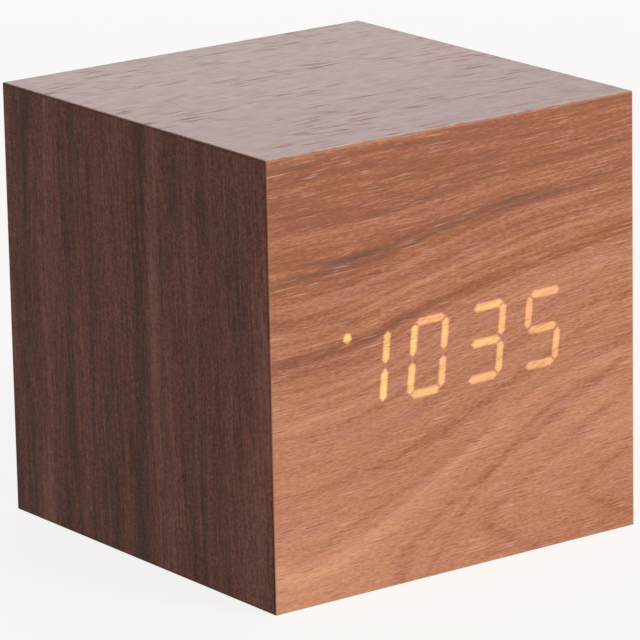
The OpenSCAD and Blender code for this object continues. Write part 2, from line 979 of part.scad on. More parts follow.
module usb_insert() {
    inset = 2 * (usb_wall + fit_gap);
    color(black_plastic)
        union() {
            along_y(pcb_rear_y, pcb_rear_y + usb_base_l)
                translate(usb_at)
                    round_rect(usb_w - inset, usb_h - inset, usb_corner_r - usb_wall);
            along_y(pcb_rear_y + usb_base_l - lap, usb_mouth_y - lap)
                translate(usb_at)
                    square([usb_tongue_w, usb_tongue_t], center = true);
        }
}

module switch_bodies() {
    rim_room_d = plunger_rim_d + 2 * plunger_clear;
    rim_floor_y = plunger_rim_y - plunger_rim_t - button_travel - seat_gap;
    color(dark_grey)
        for (p = button_places)
            difference() {
                along_y(pcb_rear_y, switch_top_y)
                    translate(p)
                        square(switch_w, center = true);
                along_y(rim_floor_y, switch_top_y - switch_lid_t)
                    translate(p)
                        circle(d = rim_room_d);
                along_y(rim_floor_y, switch_top_y + lap)
                    translate(p)
                        circle(d = plunger_d + 2 * plunger_clear);
            }
}

// Plunger of one switch, kept in by its rim
module plunger(at) {
    color("ivory")
        union() {
            along_y(plunger_rim_y - plunger_rim_t, plunger_rim_y)
                translate(at)
                    circle(d = plunger_rim_d);
            along_y(plunger_rim_y - plunger_rim_t / 2, plunger_top_y)
                translate(at)
                    circle(d = plunger_d);
        }
}

module set_plunger() {
    plunger(set_at);
}

module down_plunger() {
    plunger(down_at);
}

module up_plunger() {
    plunger(up_at);
}

// Push button with a flange behind the rear cover and the outline of its mark sunk into its cap
module push_button(at) {
    cap_y = cover_out_y + button_rise;
    color(dark_grey)
        difference() {
            union() {
                along_y(flange_y - flange_t / 2, cap_y)
                    translate(at)
                        slot_outline(button_l, button_h);
                along_y(flange_y - flange_t, flange_y)
                    translate(at)
                        slot_outline(button_l + 2 * flange_lip, button_h + 2 * flange_lip);
                along_y(plunger_top_y, flange_y - flange_t / 2)
                    translate(at)
                        circle(d = plunger_d);
            }
            along_y(cap_y - mark_depth, cap_y + lap)
                translate(at)
                    children();
        }
}

// Marks on the caps: a ring, and arrows that point down and up
module ring_mark() {
    difference() {
        circle(d = 0.5 * button_h);
        circle(d = 0.3 * button_h);
    }
}

module arrow_mark(way) {
    half = 0.3 * button_h;
    polygon([[-half, -way * half * 0.6], [half, -way * half * 0.6], [0, way * half * 0.8]]);
}

module set_button() {
    push_button(set_at)
        ring_mark();
}

module down_button() {
    push_button(down_at)
        arrow_mark(-1);
}

module up_button() {
    push_button(up_at)
        arrow_mark(1);
}

module battery_tray() {
    outer_l = bay_l + 2 * tray_wall;
    slot_t = contact_t + 4 * fit_gap;
    color(black_plastic)
        difference() {
            union() {
                along_y(bay_floor_y - tray_wall, cover_in_y)
                    translate([-outer_l / 2, bay_z0 - tray_wall])
                        square([outer_l, bay_h + 2 * tray_wall]);
                for (side = [-1, 1])
                    along_y(ear_y - ear_t, ear_y)
                        translate([side * (ear_x - tray_wall / 2), ear_z])
                            square([ear_w + tray_wall, ear_h], center = true);
            }
            difference() {
                along_y(bay_floor_y, cover_in_y + lap)
                    translate([-bay_l / 2, bay_z0])
                        square([bay_l, bay_h]);
                for (i = [1 : cell_count - 1])
                    along_y(bay_floor_y - lap, bay_floor_y + tray_rib_h)
                        translate([0, bay_z0 + i * cell_pitch])
                            square([0.8 * cell_l, tray_rib_t], center = true);
            }
            for (side = [-1, 1]) {
                along_y(ear_y - ear_t - lap, ear_y + lap)
                    translate([side * ear_x, ear_z])
                        circle(d = tray_screw_d + 2 * screw_room);
                translate([side * tab_x, tab_y, cell_z(side > 0 ? 0 : cell_count - 1)])
                    cube([2 * (tab_out + tray_wall + lap), slot_t, tab_w + 4 * fit_gap], center = true);
            }
        }
}

// Height of the middle of one cell
function cell_z(i) = bay_z0 + (i + 0.5) * cell_pitch;

// Side that a cell's tip points to
function tip_side(i) = i % 2 == 0 ? 1 : -1;

module tray_screws() {
    color(steel)
        for (side = [-1, 1])
            translate([side * ear_x, ear_y - ear_t, ear_z])
                rotate([90, 0, 0])
                    screw(tray_screw_d, ear_t + pcb_screw_bite, tray_head_d, tray_head_h);
}

module battery_cells() {
    color("slategrey")
        for (i = [0 : cell_count - 1])
            translate([tip_side(i) * plate_x, cell_y, cell_z(i)])
                rotate([0, -90 * tip_side(i), 0])
                    union() {
                        cylinder(d = cell_tip_d, h = cell_tip_l + lap);
                        translate([0, 0, cell_tip_l])
                            cylinder(d = cell_d, h = cell_l - cell_tip_l);
                    }
}

// Contact plate against one end of the bay, serving the cells from one to another
module contact_plate(side, first, last) {
    translate([side * (plate_x + contact_t / 2), cell_y, (cell_z(first) + cell_z(last)) / 2])
        cube([contact_t, contact_w, contact_w + (last - first) * cell_pitch], center = true);
}

// Tab of an end contact, out through the wall of the tray
module contact_tab(side, i) {
    tab_l = tab_x - plate_x;
    translate([side * (plate_x + tab_l / 2), tab_y, cell_z(i)])
        cube([tab_l, contact_t, tab_w], center = true);
}

module battery_contacts() {
    color(steel) {
        contact_plate(-1, 0, 1);
        contact_plate(1, 1, 2);
        union() {
            contact_plate(1, 0, 0);
            contact_tab(1, 0);
        }
        union() {
            contact_plate(-1, 2, 2);
            contact_tab(-1, 2);
        }
    }
}

// Samples along a conical coil from the origin along +X
function coil_samples(l, turns, r0, r1, per_turn) = [
    for (k = [0 : turns * per_turn])
        let (
            part = k / (turns * per_turn),
            a = 360 * k / per_turn,
            r = r0 + (r1 - r0) * part
        )
        [[l * part, r * cos(a), r * sin(a)], [l / (2 * PI * turns * r), -sin(a), cos(a)]]
];

module battery_springs() {
    rings_per_turn = 12;
    wire_sides = 6;
    coil_l = spring_l - spring_wire_d - 2 * fit_gap;
    color(steel)
        for (i = [0 : cell_count - 1])
            translate([-tip_side(i) * plate_x, cell_y, cell_z(i)])
                rotate([0, 0, tip_side(i) > 0 ? 0 : 180])
                    translate([spring_wire_d / 2 + fit_gap, 0, 0])
                        tube(
                            coil_samples(coil_l, spring_turns, spring_base_r, spring_tip_r, rings_per_turn),
                            spring_wire_d,
                            wire_sides
                        );
}

// Battery lead along a route that is measured from the rear cover and the battery bay
module lead(route) {
    translate([0, cover_in_y, bay_z0])
        tube(route_samples(route), lead_d, lead_sides);
}

module positive_lead() {
    color("firebrick")
        lead(positive_route);
}

module negative_lead() {
    color(black_plastic)
        lead(negative_route);
}

module battery_door() {
    rib_pitch = 1.2;
    rib_w = 0.5;
    rib_l = 6;
    color(black_plastic)
        difference() {
            union() {
                along_y(door_out_y - door_t, door_out_y)
                    translate([-door_w / 2, hinge_z])
                        square([door_w, door_z1 - hinge_z]);
                along_x(-door_w / 2, door_w / 2)
                    translate([hinge_y, hinge_z])
                        circle(barrel_r);
                along_x(-door_w / 2 - hinge_pin_l, door_w / 2 + hinge_pin_l)
                    translate([hinge_y, hinge_z])
                        circle(d = hinge_pin_d);
                for (i = [1 : 4])
                    along_y(door_out_y - door_t / 2, door_out_y + latch_rib_h)
                        translate([0, door_z1 - i * rib_pitch])
                            square([rib_l, rib_w], center = true);
            }
            for (side = [-1, 1])
                along_y(door_out_y - door_t - lap, door_out_y + lap)
                    translate([side * latch_w / 2, door_z1 - latch_l / 2])
                        square([latch_slot, latch_l + lap], center = true);
        }
}

front_veneer();
left_veneer();
right_veneer();
top_veneer();
bottom_veneer();
front_board();
left_board();
right_board();
top_board();
bottom_board();
rear_edge_bands();
corner_blocks();
rear_cover();
rear_cover_screws();
diffuser_film();
display_housing();
lit_segments();
unlit_segments();
led_chips();
display_pcb();
display_spacers();
display_screws();
display_connector();
ribbon_cable();
main_pcb();
main_pcb_screws();
main_connector();
controller_chip();
crystal();
capacitor();
buzzer();
microphone();
usb_shell();
usb_insert();
switch_bodies();
set_button();
down_button();
up_button();
set_plunger();
down_plunger();
up_plunger();
battery_tray();
tray_screws();
battery_cells();
battery_contacts();
battery_springs();
positive_lead();
negative_lead();
battery_door();
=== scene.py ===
import math

import bmesh
import bpy
from mathutils import Matrix, Vector


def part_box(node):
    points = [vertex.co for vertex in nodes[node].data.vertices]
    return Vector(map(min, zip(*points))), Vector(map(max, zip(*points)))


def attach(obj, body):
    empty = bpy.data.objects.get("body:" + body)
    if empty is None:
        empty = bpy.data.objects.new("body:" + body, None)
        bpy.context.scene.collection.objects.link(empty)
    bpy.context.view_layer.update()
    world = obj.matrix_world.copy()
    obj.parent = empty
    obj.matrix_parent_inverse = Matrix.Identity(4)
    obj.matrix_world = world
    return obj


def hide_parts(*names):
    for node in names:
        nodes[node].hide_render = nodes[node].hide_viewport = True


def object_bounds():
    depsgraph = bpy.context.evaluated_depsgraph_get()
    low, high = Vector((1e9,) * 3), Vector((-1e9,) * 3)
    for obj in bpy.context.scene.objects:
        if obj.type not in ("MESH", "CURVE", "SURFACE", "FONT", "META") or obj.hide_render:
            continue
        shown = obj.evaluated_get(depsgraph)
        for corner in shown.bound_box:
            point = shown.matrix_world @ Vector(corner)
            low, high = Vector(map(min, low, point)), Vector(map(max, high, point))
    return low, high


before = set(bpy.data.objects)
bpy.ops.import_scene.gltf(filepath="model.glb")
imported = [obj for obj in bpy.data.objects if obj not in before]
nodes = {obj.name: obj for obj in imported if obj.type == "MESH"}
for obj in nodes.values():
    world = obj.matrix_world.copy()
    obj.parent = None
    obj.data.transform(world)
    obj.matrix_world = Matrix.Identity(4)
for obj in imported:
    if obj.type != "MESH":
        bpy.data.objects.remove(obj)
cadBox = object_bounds()
mm = 0.001
half = cadBox[1].x / mm                         # half the width of the cube, in mm
middle = (cadBox[0].z + cadBox[1].z) / 2 / mm   # height of the middle of the cube, in mm
print("frame loaded:", len(nodes), "nodes")


# Node trees, where shaders read places in millimetres

class Bench:
    def __init__(self, tree):
        self.tree = tree

    def feed(self, socket, value):
        if isinstance(value, bpy.types.NodeSocket):
            self.tree.links.new(value, socket)
        else:
            socket.default_value = value

    def put(self, kind, values=(), **settings):
        made = self.tree.nodes.new(kind)
        for name, value in settings.items():
            setattr(made, name, value)
        pairs = values.items() if isinstance(values, dict) else enumerate(values)
        for place, value in pairs:
            self.feed(made.inputs[place], value)
        return made

    def out(self, kind, values=(), **settings):
        return self.put(kind, values, **settings).outputs[0]

    def grow(self, kind, **given):
        # a geometry node: names in small letters are its settings, the others its inputs
        settings = {name: value for name, value in given.items() if name.islower()}
        values = {name.replace("_", " "): value for name, value in given.items() if name not in settings}
        return self.out("GeometryNode" + kind, values, **settings)

    def math(self, operation, *values):
        return self.out("ShaderNodeMath", values, operation=operation)

    def add(self, *values):
        total = values[0]
        for value in values[1:]:
            total = self.math("ADD", total, value)
        return total

    def times(self, a, b):
        return self.math("MULTIPLY", a, b)

    def minus(self, a, b):
        return self.math("SUBTRACT", a, b)

    def point(self, x, y, z=0.0):
        return self.out("ShaderNodeCombineXYZ", (x, y, z))

    def places(self):
        spot = self.put("ShaderNodeTexCoord").outputs["Object"]
        scaled = self.out("ShaderNodeVectorMath", {0: spot, "Scale": 1 / mm}, operation="SCALE")
        return self.put("ShaderNodeSeparateXYZ", (scaled,)).outputs

    def noise(self, spot, detail=2.0, rough=0.5):
        values = {"Vector": spot, "Scale": 1.0, "Detail": detail, "Roughness": rough}
        return self.out("ShaderNodeTexNoise", values)

    def speckle(self, spot, scales, detail=2.0, rough=0.5):
        # noise with so many grains to the mm, along all axes or along each
        if not isinstance(scales, tuple):
            scales = (scales,) * 3
        scaled = [self.times(value, scale) for value, scale in zip(spot, scales)]
        return self.noise(self.point(*scaled), detail, rough)

    def step(self, value, low, high, bottom=0.0, top=1.0):
        values = (value, low, high, bottom, top)
        return self.out("ShaderNodeMapRange", values, interpolation_type="SMOOTHSTEP")

    def inside(self, value, low, high, blur):
        rising = self.step(value, low - blur, low + blur)
        return self.times(rising, self.step(value, high - blur, high + blur, 1.0, 0.0))

    def ramp(self, value, stops):
        ramp = self.put("ShaderNodeValToRGB", (value,))
        points = ramp.color_ramp.elements
        while len(points) < len(stops):
            points.new(1.0)
        for point, (place, colour) in zip(points, stops):
            point.position = place
            point.color = (*colour, 1.0) if isinstance(colour, tuple) else (colour, colour, colour, 1.0)
        return ramp.outputs[0]

    def mix(self, share, a, b, blend="MIX"):
        # sockets 6 and 7 hold the node's two colours
        values = {0: share, 6: a if isinstance(a, bpy.types.NodeSocket) else (*a, 1.0),
                  7: b if isinstance(b, bpy.types.NodeSocket) else (*b, 1.0)}
        return self.put("ShaderNodeMix", values, data_type="RGBA", blend_type=blend).outputs[2]

    def between(self, share, a, b):
        # sockets 2 and 3 hold its two numbers
        return self.out("ShaderNodeMix", {0: share, 2: a, 3: b})

    def away(self, x, y, centre):
        # how far a place on a sheet lies from a point of it
        ends = (self.point(x, y), (*centre, 0.0))
        return self.put("ShaderNodeVectorMath", ends, operation="DISTANCE").outputs["Value"]

    def bump(self, height, depth, strength=1.0):
        values = {"Strength": strength, "Distance": depth * mm, "Height": height}
        return self.out("ShaderNodeBump", values)


def newMaterial(name):
    made = bpy.data.materials.new(name)
    made.use_nodes = True
    made.node_tree.nodes.clear()
    return made, Bench(made.node_tree)


def surface(bench, **sockets):
    shader = bench.put("ShaderNodeBsdfPrincipled")
    for name, value in sockets.items():
        bench.feed(shader.inputs[name.replace("_", " ")], value)
    bench.put("ShaderNodeOutputMaterial", {"Surface": shader.outputs[0]})


def shades(colour, shares):
    return [[value * share for value in colour] for share in shares]


# Walnut veneer: a tone from 0 to 1 that follows the grain, then its colour, then dashes and an edge line
# broken up by wear: a painted highlight where it is pale, a darker rim where it is dark

walnut = {
    "colours": [(0.10, (0.090, 0.050, 0.034)), (0.25, (0.220, 0.084, 0.044)), (0.40, (0.374, 0.111, 0.043)),
                (0.50, (0.487, 0.186, 0.096)), (0.60, (0.592, 0.247, 0.133)), (0.78, (0.790, 0.365, 0.205))],
    "rough": 0.42,
    "ior": 1.3,
    "noiseRough": 0.55,
    "drift": (45.0, 20.0),              # length and width of the slow wander of the grain, in mm
    "strokeDrift": 0.4,                 # share of that wander in the strokes
    "strokeEdge": (0.1, 1.1),           # a stroke fades out between these shares of its width
    "breaks": (11.0, 1.1),              # length and width of the breaks in the strokes
    "breakEdge": (-0.16, 0.08),         # noise where a break ends and the stroke is full again
    "patchEdge": 0.12,                  # noise over which the cool tint turns into the warm one
    "crowdLength": 26.0,                # length of a crowd of dashes
    "crowdEdge": (-0.08, 0.12),
    "wearScale": 0.35,                  # worn spots, in grains to the mm
    "wear": (0.3, 0.6, 0.5, 1.0),       # noise where the wear starts and is full, and its least and most
    "topLeftEdge": 2.2,                 # the left edge line of the top, a painted highlight broken up by wear, is so many times narrower
    "figureHeight": 0.5,                # pale wood stands higher, and pores are sunk
    "poreDepth": 0.8,
    "relief": (0.06, 0.6),              # depth in mm, and strength
    "poreRough": 0.20, "wornRough": 0.10,
}
grainSeeds = {"drift": 0, "crowd": 5, "breaks": 17, "patches": 31, "pores": 41, "paintedGlints": 43}

# Lines of the front sheet climb to the right, steeper towards the bottom
frontLine = {
    "steepAt": 20.0, "steepRise": 30.0,
    "flatAt": 62.0, "flatRise": 8.0,
    "lift": 0.22,                       # how much the lines rise at both ends
}


def veneerMaterial(name, look, glow=None):
    made, bench = newMaterial(name)
    spot = bench.places()
    x, y, z = spot
    along, across, rim = look["lines"](bench, x, y, z)
    fibre = bench.add(across, bench.times(along, look["tilt"]))

    def grain(sideways, long, wide, seed, detail=1.0):
        place = bench.point(bench.times(along, 1 / long), bench.times(sideways, 1 / wide), look["seed"] + seed)
        return bench.minus(bench.noise(place, detail, walnut["noiseRough"]), 0.5)

    drift = bench.times(grain(across, *walnut["drift"], grainSeeds["drift"]), look["wander"])
    figure = bench.add(look["figure"](bench, along, across), drift)

    def dashes(kind, seed):
        # the crests of a stretched noise, crowded together along the figure
        crowding = grain(figure, walnut["crowdLength"], kind["crowd"], seed + grainSeeds["crowd"])
        crowd = bench.step(crowding, *walnut["crowdEdge"], kind["least"], 1.0)
        crest = bench.step(grain(fibre, kind["long"], kind["wide"], seed), kind["from"], kind["full"])
        return bench.times(crest, crowd)

    low, high = look["low"], look["high"]
    spread = bench.out("ShaderNodeMapRange", (figure, low, high))
    bands = bench.ramp(spread, [((place - low) / (high - low), tone) for place, tone in look["bands"]])
    tone = bench.out("ShaderNodeSeparateColor", (bands,))
    # a painted sheen: the tone is raised towards one corner of the sheet
    if "paintedSheenCorner" in look:
        pale = look["paintedSheenCorner"]
        away = bench.away(along, across, pale["at"])
        tone = bench.add(tone, bench.step(away, 0.0, pale["reach"], pale["amount"], 0.0))
    breaks = grain(fibre, *walnut["breaks"], grainSeeds["breaks"], 2.0)
    broken = bench.step(breaks, *walnut["breakEdge"], look["unbroken"], 1.0)
    clear, gone = walnut["strokeEdge"]

    def brushed(place, path, width, amount):
        wandering = bench.add(place, bench.times(drift, walnut["strokeDrift"]))
        off = bench.math("ABSOLUTE", bench.minus(wandering, path))
        return bench.times(bench.step(off, clear * width, gone * width, amount, 0.0), broken)

    for left, centre, right, width, amount in look.get("strokes", []):
        share = bench.times(along, 1 / half)
        bend = bench.add(bench.times(share, (left + right) / 2 - centre), (right - left) / 2)
        path = bench.add(bench.times(share, bend), centre)
        tone = bench.add(tone, brushed(across, path, width, amount))
    for (tipAlong, tipAcross), run, roundness, width, amount in look.get("arches", []):
        rise = bench.minus(across, tipAcross)
        slant = bench.math("SQRT", bench.add(bench.times(rise, rise), roundness ** 2))
        path = bench.add(bench.times(bench.minus(slant, roundness), run), tipAlong)
        tone = bench.add(tone, brushed(along, path, width, amount))
    lively = bench.step(across, *look["lively"])
    for long, wide, amount in look["streaks"]:
        streak = bench.times(grain(figure, long, wide, wide, 3.0), amount)
        tone = bench.add(tone, bench.times(streak, lively))
    for long, wide, amount in look["fibres"]:
        tone = bench.add(tone, bench.times(grain(fibre, long, wide, long), amount))
    patches = grain(figure, *look["patches"], grainSeeds["patches"], 2.0)
    patch = bench.step(patches, -walnut["patchEdge"], walnut["patchEdge"])
    tint = bench.mix(patch, look["cool"], look["warm"])
    colour = bench.mix(1.0, bench.ramp(tone, look["colours"]), tint, "MULTIPLY")
    pores = dashes(look["pores"], grainSeeds["pores"])
    # pale dashes along the grain: painted glints of the pores
    paintedGlints = dashes(look["paintedGlints"], grainSeeds["paintedGlints"])
    colour = bench.mix(bench.times(pores, look["pores"]["amount"]), colour, look["pores"]["colour"])
    colour = bench.mix(bench.times(paintedGlints, look["paintedGlints"]["amount"]), colour, look["paintedGlints"]["colour"])
    worn = bench.speckle(spot, walnut["wearScale"], 3.0)
    # the edge line: a painted highlight where its colour is paler than the wood, a darker rim where it is
    # darker, broken up by wear
    width, amount, edgeColour = look["edge"]
    edge = bench.times(bench.step(rim, width / 2, width, amount, 0.0), bench.step(worn, *walnut["wear"]))
    colour = bench.mix(edge, colour, edgeColour)
    height = bench.minus(bench.times(tone, walnut["figureHeight"]), bench.times(pores, walnut["poreDepth"]))
    rough = bench.add(bench.times(pores, walnut["poreRough"]), bench.times(worn, walnut["wornRough"]),
                      walnut["rough"] - walnut["wornRough"] / 2)
    sockets = {"Base_Color": colour, "Roughness": rough, "Normal": bench.bump(height, *walnut["relief"]),
               "IOR": walnut["ior"], "Specular_IOR_Level": look["gloss"]}
    if glow:
        sockets["Emission_Color"] = glow(bench, x, z, tone, pores)
        sockets["Emission_Strength"] = 1.0
    surface(bench, **sockets)
    return made


def rimOf(bench, a, aMiddle, b, bMiddle):
    reach = []
    for value, centre in ((a, aMiddle), (b, bMiddle)):
        off = bench.math("ABSOLUTE", bench.minus(value, centre))
        reach.append(bench.minus(half, off))
    return bench.math("MINIMUM", *reach)


def frontLines(bench, x, y, z):
    return x, z, rimOf(bench, x, 0.0, z, middle)


def sideLines(bench, x, y, z):
    return bench.minus(z, middle), y, rimOf(bench, y, 0.0, z, middle)


def levelLines(bench, x, y, z):
    return x, y, rimOf(bench, x, 0.0, y, 0.0)


def topLines(bench, x, y, z):
    # only the front edge gets the pale line, a painted highlight broken up by wear, and the left edge a
    # narrower one
    left = bench.times(bench.add(x, half), walnut["topLeftEdge"])
    return x, y, bench.math("MINIMUM", bench.add(y, half), left)


def bandLines(bench, x, y, z):
    # grain runs along each strip, and turns at the mitres
    up = bench.minus(z, middle)
    side = bench.math("GREATER_THAN", bench.math("ABSOLUTE", x), bench.math("ABSOLUTE", up))
    return bench.between(side, x, up), bench.between(side, up, x), rimOf(bench, x, 0.0, z, middle)


def climbing(bench, along, across):
    flat, steep = frontLine["flatAt"], frontLine["steepAt"]
    drop = (frontLine["steepRise"] - frontLine["flatRise"]) / (flat - steep)
    rise = bench.minus(frontLine["steepRise"], bench.times(bench.minus(across, steep), drop))
    turn = bench.times(along, math.pi / (2 * half))
    lift = bench.times(bench.minus(1.0, bench.math("COSINE", turn)), frontLine["lift"])
    wave = bench.add(bench.times(bench.math("SINE", turn), 1.0 - frontLine["lift"] / 2), lift)
    return bench.minus(across, bench.times(bench.times(rise, 0.5), wave))


def leaning(slope):
    return lambda bench, along, across: bench.add(across, bench.times(along, slope))


# Digits that shine through the front sheet

display = {
    "digits": "1035",
    "pitch": 12.7,
    "slant": 6.0,
    "nodeX": 3.375,          # from a digit's middle to the middle of its upright segments
    "nodeZ": 6.375,          # and to the middle of its top segment
    "halfWidth": 0.68,
    "gap": 0.22,
    "middleGap": 0.30,       # what an upright segment loses at its end beside the middle segment
    "soft": 0.37,
    "dotAt": (-23.68, 6.4),
    "dotRadius": 0.8,
    "dotLight": 1.25,
    "rise": 0.25,            # the light shows a little higher than the segments behind the sheet
    "turn": 0.9,             # and turned by this, in degrees
    "yellow": (0.475, 0.41, 0.096),
    "orange": (0.445, 0.226, 0.092),
    "full": 0.62,            # from here on a segment is bright, and only its colour still changes
    "plainShare": 0.40,      # light that any wood lets through, then more for pale wood and less for pores
    "toneShare": 1.3,
    "poreShade": 0.25,
    "lights": {
        "1": {"b": 0.87, "c": 1.0},
        "0": {"a": 0.62, "b": 0.80, "c": 0.75, "d": 0.77, "e": 0.85, "f": 0.94},
        "3": {"a": 0.81, "b": 0.75, "c": 0.77, "d": 0.70, "g": 0.85},
        "5": {"a": 0.70, "f": 0.69, "g": 0.75, "c": 0.73, "d": 0.76},
    },
}
segmentMiddles = {"a": (0, 1), "b": (1, 0.5), "c": (1, -0.5), "d": (0, -1), "e": (-1, -0.5),
                  "f": (-1, 0.5), "g": (0, 0)}


def segmentGroup():
    # light of one bar with pointed ends, at a place given along and across it
    group = bpy.data.node_groups.new("segmentLight", "ShaderNodeTree")
    for name in ("Along", "Across", "Half Length", "Half Width", "Soft", "Light"):
        group.interface.new_socket(name, in_out="INPUT", socket_type="NodeSocketFloat")
    group.interface.new_socket("Light", in_out="OUTPUT", socket_type="NodeSocketFloat")
    bench = Bench(group)
    given = bench.put("NodeGroupInput").outputs
    along = bench.math("ABSOLUTE", given["Along"])
    across = bench.math("ABSOLUTE", given["Across"])
    side = bench.minus(across, given["Half Width"])
    tip = bench.minus(bench.add(along, across), given["Half Length"])
    off = bench.math("MAXIMUM", side, bench.times(tip, math.sqrt(0.5)))
    inside = bench.step(off, bench.times(given["Soft"], -1.0), given["Soft"], 1.0, 0.0)
    bench.put("NodeGroupOutput", (bench.times(inside, given["Light"]),))
    return group


def digitGlow(bench, x, z, tone, pores):
    group = segmentGroup()
    turned = bench.times(x, math.tan(math.radians(display["turn"])))
    up = bench.minus(bench.minus(z, middle + display["rise"]), turned)
    lean = bench.times(up, math.tan(math.radians(display["slant"])))
    total = 0.0
    middlePlace = (len(display["digits"]) - 1) / 2
    for place, digit in enumerate(display["digits"]):
        right = bench.minus(bench.minus(x, (place - middlePlace) * display["pitch"]), lean)
        for letter, light in display["lights"][digit].items():
            across, climb = segmentMiddles[letter]
            offX = bench.minus(right, across * display["nodeX"])
            level = letter in "adg"
            short = 0.0 if level else display["middleGap"] / 2
            offZ = bench.minus(up, climb * (display["nodeZ"] + 2 * short))
            length = display["nodeX"] if level else display["nodeZ"] / 2 - short
            spot = (offX, offZ) if level else (offZ, offX)
            bar = bench.put("ShaderNodeGroup", node_tree=group)
            values = (*spot, length - display["gap"], display["halfWidth"], display["soft"], light)
            for socket, value in zip(bar.inputs, values):
                bench.feed(socket, value)
            total = bench.math("MAXIMUM", total, bar.outputs[0])
    away = bench.away(x, up, display["dotAt"])
    inner, outer = display["dotRadius"] - display["soft"], display["dotRadius"] + display["soft"]
    total = bench.math("MAXIMUM", total, bench.step(away, inner, outer, display["dotLight"], 0.0))
    shine = bench.mix(bench.step(total, display["full"], 1.0), display["orange"], display["yellow"])
    through = bench.add(bench.times(tone, display["toneShare"]), display["plainShare"])
    through = bench.minus(through, bench.times(pores, display["poreShade"]))
    strength = bench.times(bench.step(total, 0.0, display["full"]), through)
    strength = bench.times(strength, bench.math("MAXIMUM", total, 1.0))
    grey = bench.out("ShaderNodeCombineColor", (strength,) * 3)
    return bench.mix(1.0, shine, grey, "MULTIPLY")


# Looks of the sheets, in mm: bands give the tone at places across the grain, streaks and fibres their
# length, width and strength, lively where the streaks fade, and an edge its width, strength and colour,
# where a pale edge colour paints a highlight on the rounded edge

frontLook = {
    "lines": frontLines, "figure": climbing, "seed": 11.0, "wander": 5.0, "tilt": -0.045, "unbroken": 0.3,
    "low": -20.0, "high": 84.0,
    "bands": [(-20, 0.50), (-12, 0.53), (5, 0.59), (10, 0.577), (15, 0.577), (18.4, 0.59), (19.4, 0.65),
              (20.6, 0.655), (21.6, 0.55), (26, 0.532), (30, 0.524), (36, 0.529), (42, 0.54), (46, 0.51),
              (50, 0.44), (53, 0.48), (58, 0.465), (61.5, 0.42), (64, 0.415), (70, 0.395), (84, 0.38)],
    # painted sheen: the tone rises towards the lower left corner, by this much within this reach
    "paintedSheenCorner": {"at": (-40.0, 4.0), "reach": 42.0, "amount": 0.10},
    # each stroke: its heights at the left, the middle and the right, its width, and what it adds to the tone
    "strokes": [(57.4, 62.8, 66.0, 1.4, -0.11), (43.6, 49.6, 56.0, 1.6, -0.10),
                (18.6, 27.4, 44.0, 1.4, -0.06), (6.8, 21.4, 36.0, 1.2, -0.06),
                (-58.4, 9.4, 29.5, 1.1, -0.08), (32.1, 40.0, 52.0, 1.0, 0.05),
                (49.0, 54.6, 60.0, 1.6, 0.05), (60.2, 66.5, 69.5, 1.8, 0.05)],
    # each arch: its tip, how far it runs to the right for each mm up or down, its roundness, width and tone
    "arches": [((-12.6, 2.0), 2.2, 8.0, 2.6, -0.10), ((6.0, 7.8), 1.9, 1.5, 2.8, -0.08),
               ((28.0, 9.0), 2.0, 1.0, 2.4, -0.07)],
    "colours": walnut["colours"], "gloss": 0.5, "lively": (20.0, 48.0, 0.35, 1.0),
    "streaks": [(60.0, 2.4, 0.25), (36.0, 0.7, 0.36)],
    "fibres": [(1.1, 0.24, 0.36), (4.0, 0.34, 0.17), (14.0, 1.3, 0.12)],
    "patches": (30.0, 4.0), "cool": (0.99, 0.96, 1.01), "warm": (1.02, 1.03, 0.95),
    "pores": {"long": 5.0, "wide": 0.42, "from": 0.09, "full": 0.22, "crowd": 2.8, "least": 0.25,
              "amount": 0.62, "colour": (0.185, 0.082, 0.050)},
    "paintedGlints": {"long": 7.0, "wide": 0.28, "from": 0.10, "full": 0.24, "crowd": 6.0, "least": 0.45,
               "amount": 0.60, "colour": (0.82, 0.48, 0.33)},
    # a pale edge line: painted highlight on the rounded edge
    "edge": (0.5, 0.28, (0.80, 0.46, 0.32)),
}
sideLook = {
    "lines": sideLines, "figure": leaning(-0.045), "seed": 23.0, "wander": 4.0, "tilt": -0.02, "unbroken": 0.6,
    "low": -46.0, "high": 46.0,
    "bands": [(-46, 0.50), (-32, 0.48), (-20, 0.45), (-8, 0.47), (4, 0.44), (16, 0.45), (28, 0.48),
              (38, 0.45), (46, 0.42)],
    "strokes": [(22.6, 21.0, 20.5, 2.9, -0.20), (14.2, 13.7, 12.1, 1.7, -0.16),
                (-0.5, -1.6, -3.2, 2.8, -0.22), (-19.0, -20.3, -20.8, 1.5, -0.20),
                (34.5, 33.7, 33.7, 2.2, -0.18), (29.0, 28.0, 27.0, 3.0, 0.16),
                (-5.5, -6.0, -7.0, 2.0, 0.19), (-35.0, -39.0, -45.0, 6.0, 0.17)],
    "colours": [(0.10, (0.130, 0.079, 0.054)), (0.25, (0.225, 0.110, 0.078)), (0.40, (0.345, 0.146, 0.103)),
                (0.50, (0.430, 0.180, 0.127)), (0.60, (0.520, 0.222, 0.157)), (0.78, (0.660, 0.310, 0.220))],
    "gloss": 0.2, "lively": (-50.0, -45.0, 0.0, 1.0),
    "streaks": [(40.0, 4.5, 0.72), (24.0, 1.1, 0.58)],
    "fibres": [(0.45, 0.60, 0.75), (3.0, 0.36, 0.46), (8.0, 0.60, 0.34), (20.0, 1.6, 0.24)],
    "patches": (45.0, 5.0), "cool": (1.02, 1.01, 1.0), "warm": (1.10, 1.0, 0.92),
    "pores": {"long": 3.6, "wide": 0.55, "from": 0.09, "full": 0.22, "crowd": 3.0, "least": 0.35,
              "amount": 0.60, "colour": (0.115, 0.074, 0.050)},
    "paintedGlints": {"long": 3.5, "wide": 0.42, "from": 0.16, "full": 0.28, "crowd": 5.0, "least": 0.3,
               "amount": 0.35, "colour": (0.70, 0.42, 0.32)},
    "edge": (0.7, 0.50, (0.18, 0.050, 0.028)),
}
